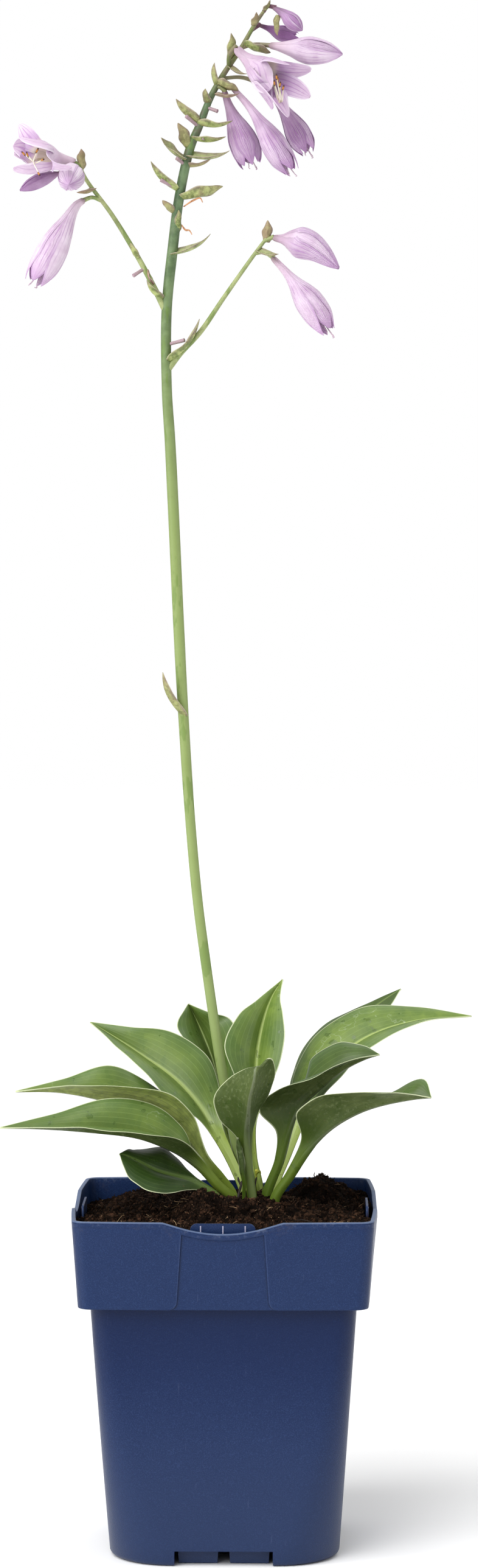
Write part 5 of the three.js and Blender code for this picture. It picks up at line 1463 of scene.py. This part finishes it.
# shade runs from pale mauve (0) to deep purple (1)
blooms = {
    "bloom_01": {
        "kind": "bud", "girth": 3.6, "shade": 0.85, "wilt": 0.0,
        "axis": [[22.2, 3.2, 727.2], [27.8, 2, 723.5], [31.8, 1, 719.6], [36.1, 0, 715.9]],
    },
    "bloom_02": {
        "kind": "trumpet", "girth": 3.7, "shade": 1.0,
        "axis": [[15.9, 5.5, 719], [20.4, 8, 717.7], [26.6, 10, 715.6], [34.7, 11, 714.3]],
    },
    "bloom_03": {
        "kind": "bud", "girth": 6.2, "shade": 0.32,
        "axis": [[20.9, -0.1, 708.9], [31.3, -2, 707.2], [41, -4, 705.8], [54.9, -7, 704.1]],
    },
    "bloom_04": {
        "kind": "open", "girth": 8, "shade": 0.34,
        "axis": [
            [5.4, -4.7, 706.7], [8.9, -5.4, 703.2], [13.1, -7.4, 699.5], [17.2, -10.4, 695.9],
            [20.7, -13, 693.1],
        ],
        "petals": [
            [[22, -15, 701.4], [30.5, -19, 697.9]], [[17.6, -17, 690.8], [21.4, -18.6, 686.6]],
            [[18.8, -12.5, 684], [22.6, -14.5, 678.4]], [[23.2, -18, 681.8], [29.7, -18, 673.9]],
            [[31.4, -9, 688.5], [39.9, -8, 684.1]], [[29.8, -8, 697.4], [40.2, -5, 696.9]],
        ],
        "forms": [[6.4, 0.38], [6.2, 0.5], [7.2, 0.5], [9.4, 0.5], [5.8, 0.6], [6.2, 0.45]],
    },
    "bloom_05": {
        "kind": "trumpet", "girth": 6.8, "shade": 0.6,
        "axis": [[-0.5, -1, 687.6], [1.4, 0.5, 681.8], [5.2, 2.5, 672.4], [9.2, 4, 662.4], [12.6, 4.5, 653]],
    },
    "bloom_06": {
        "kind": "trumpet", "girth": 6, "shade": 0.5,
        "axis": [
            [3.2, -0.9, 689.4], [11.3, -3, 680], [18.5, -5, 669.3], [24.5, -6, 659.3], [31.3, -7, 648.6],
        ],
    },
    "bloom_07": {
        "kind": "trumpet", "girth": 5.8, "shade": 0.6,
        "axis": [[17.1, 6.2, 691.3], [23.2, 9, 685.7], [30.1, 12, 676], [35, 13, 667.5], [39, 13, 659.4]],
    },
    "bloom_08": {
        "kind": "open", "girth": 7.6, "shade": 0.2,
        "axis": [
            [-70.8, -14.8, 653.4], [-75, -17, 654.5], [-79.1, -20, 654.8], [-83.1, -24, 654.8],
            [-86.8, -28, 654.7],
        ],
        "petals": [
            [[-91.1, -22, 665.1], [-95.7, -21, 670.5]], [[-93.8, -21, 659.3], [-98.4, -22, 660.3]],
            [[-93.8, -21, 655.1], [-97.8, -24, 655.8]], [[-90.8, -28, 647.7], [-97.4, -31, 649.7]],
            [[-78.7, -39, 650.6], [-70.6, -35.5, 648.9]], [[-84.1, -36, 661.3], [-94.5, -35, 663.1]],
        ],
        "forms": [[6.4, 0.62], [6.2, 0.6], [5.6, 0.6], [6.8, 0.5], [5.2, 0.4], [6.8, 0.5]],
    },
    "bloom_09": {
        "kind": "bud", "girth": 3.2, "shade": 0.75,
        "axis": [[-76.8, -16.4, 648.3], [-80.7, -16.5, 647], [-87.1, -17, 644.3], [-95.4, -19, 640]],
    },
    "bloom_10": {
        "kind": "bud", "girth": 6, "shade": 0.18,
        "axis": [[-69.2, -16, 650.4], [-70.3, -20, 647.8], [-71.1, -27, 645.5], [-71.6, -38, 641]],
    },
    "bloom_11": {
        "kind": "trumpet", "girth": 7, "shade": 0.2,
        "axis": [
            [-66, -13.3, 635.9], [-69.3, -14, 633.3], [-75.4, -17, 621.8], [-82.1, -19, 608.4],
            [-88.9, -20, 596.3],
        ],
    },
    "bloom_12": {
        "kind": "wilted", "girth": 7, "shade": 0.38,
        "axis": [[22.7, -12.2, 618.4], [32.8, -15, 616.5], [41.3, -18, 613.4], [53.2, -22, 603.6]],
    },
    "bloom_13": {
        "kind": "trumpet", "girth": 6.6, "shade": 0.28,
        "axis": [
            [22.3, -11, 609.3], [28.5, -12, 602.5], [34.8, -13, 594.5], [41.3, -14, 585.7], [49, -15, 574],
        ],
    },
}
# The open blooms' stamens: from the throat, through a bend, to each anther
stamens = {
    "bloom_04": {
        "from": [22.5, -13.5, 689.5],
        "anthers": [
            [24.7, -20, 690.9], [23.2, -20, 689.4], [25.8, -20, 688.7], [27.3, -21, 687.1],
            [24.2, -21.5, 692],
        ],
        "bend": [25.9, -17, 681.2],
    },
    "bloom_08": {
        "from": [-84, -25, 654.6],
        "anthers": [
            [-92.9, -31, 656], [-91.1, -32, 655.5], [-86.5, -34, 657.1], [-83.7, -38, 652.6],
            [-85.4, -38, 646.1],
        ],
        "bend": [-88, -31, 652],
    },
}


def petalFinish():
    finish = Finish("petalMauve", Roughness=0.48, Specular_IOR_Level=0.25)
    finish.shader.inputs["Subsurface Weight"].default_value = 0.2
    finish.shader.inputs["Subsurface Scale"].default_value = 0.0015
    finish.shader.inputs["Subsurface Radius"].default_value = (1.0, 0.75, 1.0)
    across = finish.math("ABSOLUTE", finish.mark("across"))
    along, shade, inside, wilt = (finish.mark(k) for k in ("along", "shade", "inside", "wilt"))

    def lines(many, grain, wander):
        # many lines down the petal, which wander with a grain
        bend = finish.times(finish.math("SUBTRACT", grain, 0.5), wander)
        return finish.math("COSINE", finish.math("ADD", finish.times(across, many), bend))

    cloud = finish.rise(finish.grain(110, 4, 0.6), 0.3, 0.7)
    pale = finish.between(cloud, (0.65, 0.5, 0.63), (0.78, 0.66, 0.765))
    deep = finish.between(cloud, (0.26, 0.12, 0.28), (0.36, 0.2, 0.39))
    tone = finish.blend(shade, pale, deep)
    # veins, strongest beyond the petal's waist
    vein = finish.rise(lines(16.0, finish.grain(110, 3), 5.0), 0.45, 1.0)
    vein = finish.times(vein, finish.rise(along, 0.2, 0.55), finish.rise(finish.grain(75, 3), 0.3, 0.65))
    tone = finish.over(tone, (0.3, 0.11, 0.36), vein, 0.6)
    # the rim, the tip, the neck, the base and the throat have tones of their own
    rim = finish.times(finish.rise(across, 0.6, 1.0), finish.rise(along, 0.35, 0.8, 0.5))
    tone = finish.blend(rim, tone, finish.between(wilt, (0.8, 0.72, 0.81), (0.3, 0.13, 0.35)))
    tone = finish.over(tone, (0.4, 0.2, 0.44), finish.rise(along, 0.82, 1.0), wilt, 0.5)
    neckTone = finish.between(shade, (0.66, 0.5, 0.58), (0.2, 0.09, 0.2))
    neckTone = finish.over(neckTone, (0.085, 0.03, 0.06), finish.rise(shade, 0.68, 0.95))
    tone = finish.blend(finish.times(finish.fall(along, 0.1, 0.45), 0.72), tone, neckTone)
    tone = finish.over(tone, (0.2, 0.13, 0.12), finish.fall(along, 0.0, 0.14), 0.6)
    tone = finish.over(tone, (0.78, 0.71, 0.56), inside, finish.fall(along, 0.4, 0.54), 0.7)
    deepInside = finish.times(finish.rise(along, 0.42, 0.56), finish.fall(along, 0.6, 0.85), inside)
    tone = finish.over(tone, (0.4, 0.22, 0.5), deepInside, 0.4)
    # fine creases down the withered ones, away from the narrow necks: dark lines that are partly the petal's
    # own colour and partly painted shade in the folds
    creased = finish.times(finish.rise(along, 0.3, 0.55), finish.times(wilt, finish.rise(shade, 0.1, 0.5)))
    creases = finish.rise(lines(34.0, finish.grain(230, 3, 0.6), 15.0), 0.2, 1.0)
    creases = finish.times(creases, finish.rise(finish.grain(130, 3), 0.35, 0.6), creased)
    tone = finish.over(tone, (0.24, 0.1, 0.28), creases, 0.4)
    relief = finish.bump(vein, 0.00006, 0.4)
    relief = finish.bump(cloud, 0.0001, 0.3, under=relief)
    relief = finish.bump(creases, 0.00035, 0.6, under=relief)
    return finish.end(Base_Color=tone, Normal=relief)


def carriedFrames(path, shares, firstSide):
    # side and across directions carried along a path without twist
    sides = []
    side = np.array(firstSide, float)
    for along in tangents(path, shares):
        side = unit(side - along * (side @ along))
        sides.append(side)
    sides = np.array(sides)
    return sides, np.cross(tangents(path, shares), sides)


def petalShell(centre, out, halfWidth, radius, marks, thickness):
    # A petal along centre: out points to its outer face, and radius is how tightly it cups round.
    c = np.sin(np.linspace(-1, 1, petalShape["across"]) * math.pi / 2)
    along = unit(np.gradient(centre, axis=0))
    out = unit(out - along * np.einsum("ij,ij->i", out, along)[:, None])
    side = np.cross(along, out)
    angle = c[None, :] * (halfWidth / radius)[:, None]
    skin = centre[:, None] + side[:, None] * (radius[:, None] * np.sin(angle))[..., None]
    skin = skin - out[:, None] * (radius[:, None] * (1 - np.cos(angle)))[..., None]
    share = marks["along"]
    wave = 0.35 * np.sin(9 * share[:, None] + marks["number"] * 1.9 + 2.2 * np.sign(c)[None, :])
    wave = wave * np.abs(c)[None, :] ** 3 * smooth((share[:, None] - 0.55) / 0.3)
    wave = wave * np.clip(halfWidth / 3, 0, 1)[:, None]
    keel = 0.25 * np.exp(-((c / 0.18) ** 2))[None, :] * np.clip(halfWidth / 4, 0, 1)[:, None]
    skin = skin + out[:, None] * (wave + keel)[..., None]
    normal = unit(np.cross(np.gradient(skin, axis=1), np.gradient(skin, axis=0)))
    normal = normal * np.sign(np.einsum("ijk,ik->ij", normal, out).mean())
    thick = thickness * (1 - 0.7 * np.abs(c)[None, :] ** 8)
    outer = skin + normal * thick[..., None] / 2
    inner = skin - normal * thick[..., None] / 2
    rings = np.concatenate([outer, inner[:, ::-1]], axis=1)
    shape = rings.shape[:2]
    inside = np.concatenate([np.zeros(len(c)), np.ones(len(c))])
    return ringShell(rings, {
        "across": np.broadcast_to(np.concatenate([c, c[::-1]]), shape),
        "along": np.broadcast_to(share[:, None], shape),
        "shade": np.full(shape, float(marks["shade"])),
        "inside": np.broadcast_to(inside, shape),
        "wilt": np.full(shape, float(marks["wilt"])),
    })


def bloomShells(bloom, seed):
    s = petalShape
    axis = pathThrough(bloom["axis"])
    kind, girth = bloom["kind"], bloom["girth"]
    outline = pathThrough([[along, radius, 0] for along, radius in bloomOutlines[kind]])
    firstSide = np.array([0, 0, 1.0])
    if kind == "open":
        firstSide = np.array(bloom["petals"][0][1], float) - axis(1)[0]
    shells = []
    for petal in range(6):
        outerOne = petal % 2 == 0
        lift = (0.5 if outerOne else -0.5) * s["tuck"]
        shares = np.linspace(0, 1, s["rows"])
        read = outline(shares if kind != "open" else np.minimum(shares * 2, 1))
        place, swell = read[:, 0], read[:, 1]
        sides, crosses = carriedFrames(axis, place, firstSide)
        angle = petal * math.pi / 3
        out = sides * math.cos(angle) + crosses * math.sin(angle)
        radius = np.maximum(girth * swell + lift * smooth(shares / 0.3), 0.15)
        centre = axis(place) + out * radius[:, None]
        # the outer petals close into a tube at the neck, and part above it
        tube = 1 - smooth((place - 0.3) / 0.3)
        overlap = s["overlap"] + (s["tubeOverlap"] - s["overlap"]) * tube * outerOne
        halfWidth = radius * math.pi / 6 * overlap
        number = petal + seed * 3
        if kind == "trumpet":
            # the lobes part near the mouth: the outer three are pointed, the inner ones broader and shorter
            shorter = 0.35 * (1 + math.sin(number * 2.3)) + (0 if outerOne else 1.0)
            taper = np.clip((1 - place) / (0.24 if outerOne else 0.13), 0, 1)
            halfWidth = halfWidth * (1.0 if outerOne else 1.15) * taper ** (0.6 if outerOne else 0.5)
            along = unit(np.gradient(axis(place), axis=0))
            centre = centre - along * (shorter * smooth((place - 0.5) / 0.5))[:, None]
            flick = 0.9 * math.sin(number * 1.7) * smooth((place - 0.85) / 0.15)
            centre = centre + out * flick[:, None]
        elif kind in ("bud", "wilted"):
            halfWidth = np.maximum(halfWidth, 0.25)
        else:
            # past its waist the petal leaves the tube for its own middle and tip
            waist = int(s["rows"] * 0.4)
            free = pathThrough([centre[waist - 6], centre[waist], *bloom["petals"][petal]])
            beyond = np.clip((shares - shares[waist]) / (1 - shares[waist]), 0, 1)
            centre = np.where((shares < shares[waist])[:, None], centre, free((1 + 2 * beyond) / 3))
            along = unit(np.gradient(centre, axis=0))
            for i in range(waist, len(out)):
                out[i] = unit(out[i - 1] - along[i] * (out[i - 1] @ along[i]))
            wide, blunt = bloom["forms"][petal]
            full = halfWidth[waist] + (wide - halfWidth[waist]) * smooth(beyond / 0.3)
            halfWidth = np.where(beyond > 0, full * np.clip(1 - beyond**2.6, 0.02, 1) ** blunt, halfWidth)
            radius = radius + 4.0 * smooth(beyond)
        marks = {
            "along": place if kind != "open" else shares,
            "shade": bloom["shade"] + 0.1 * math.sin(number * 2.9),
            "number": number,
            "wilt": bloom.get("wilt", kind != "open"),
        }
        shells.append(petalShell(centre, out, np.maximum(halfWidth, 0.12), radius, marks, s["thickness"]))
    return shells


def antherShell(middle, along, length=1.5, radius=0.5):
    along = unit(np.array(along, float))
    side = unit(np.cross(along, [0.3, 0.2, 1.0]))
    across = np.cross(along, side)
    angles = np.linspace(0, 2 * math.pi, 10, endpoint=False)
    rings = []
    for share in np.linspace(-1, 1, 9):
        size = radius * math.sqrt(max(1 - share**2, 0.02)) * (1 - 0.15 * math.cos(3 * share))
        ring = np.array(middle) + along * share * length
        rings.append(ring + size * (np.cos(angles)[:, None] * side + np.sin(angles)[:, None] * across))
    end = np.abs(np.linspace(-1, 1, 9))[:, None] * np.ones(10)
    return ringShell(rings, {"end": end})


def antherFinish():
    finish = Finish("antherOrange", Roughness=0.7, Specular_IOR_Level=0.2)
    dark = finish.rise(finish.mark("end"), 0.25, 0.75)
    tone = finish.between(dark, (0.5, 0.22, 0.045), (0.05, 0.025, 0.03))
    return finish.end(Base_Color=tone, Normal=finish.bump(finish.grain(2500, 2), 0.0001, 0.6))


def filamentFinish(name, dark, light):
    finish = Finish(name, Roughness=0.45)
    return finish.end(Base_Color=finish.between(finish.rise(finish.grain(300, 2), 0.35, 0.65), dark, light))


petalMauve = petalFinish()
for seed, (node, bloom) in enumerate(blooms.items()):
    hand(newPiece("hostaBloom" + node[-2:], bloomShells(bloom, seed), petalMauve), "bloom", node)
threads, spent, antherShells = [], [], []
for node in ("bloom_05", "bloom_06", "bloom_07", "bloom_11", "bloom_13"):
    # spent threads that hang out of the mouths of the closing blooms
    axis = pathThrough(blooms[node]["axis"])
    ahead = tangents(axis, 1)[0]
    for number in range(3):
        angle = 2.1 * number + len(spent)
        curl = np.array([math.cos(angle), 0.8 * math.sin(2 * angle), math.sin(angle)])
        end = axis(1)[0] + ahead * (0.3 * number - 0.4)
        hook = np.cross(ahead, curl)
        path = [axis(0.85)[0] + 0.8 * curl, end + 1.5 * curl, end + 1.9 * curl + ahead * 0.9]
        path.append(end + 1.4 * curl + ahead * 1.3 + 0.8 * hook)
        spent.append(steppedPath(path, [0.26, 0.24, 0.2], 22))
for group in stamens.values():
    for number, anther in enumerate(group["anthers"]):
        spread = [0.7 * math.cos(2 * number), 0.6 * math.sin(3 * number), 0.7 * math.sin(2 * number)]
        bend = np.array(group["bend"]) + spread
        threads.append(steppedPath([group["from"], bend, anther], [0.36, 0.31, 0.2], 22))
        antherShells.append(antherShell(anther, np.array(anther) - bend + [1.5, 0, 0.5]))
filamentCream = filamentFinish("filamentCream", (0.7, 0.63, 0.42), (0.84, 0.8, 0.68))
hand(sweptPiece("filaments", threads, filamentCream, 8), "bloom")
filamentSpent = filamentFinish("filamentSpent", (0.4, 0.25, 0.36), (0.62, 0.5, 0.56))
hand(sweptPiece("spentThreads", spent, filamentSpent, 8), "bloom")
hand(newPiece("anthers", antherShells, antherFinish()), "bloom")
print("blooms made")
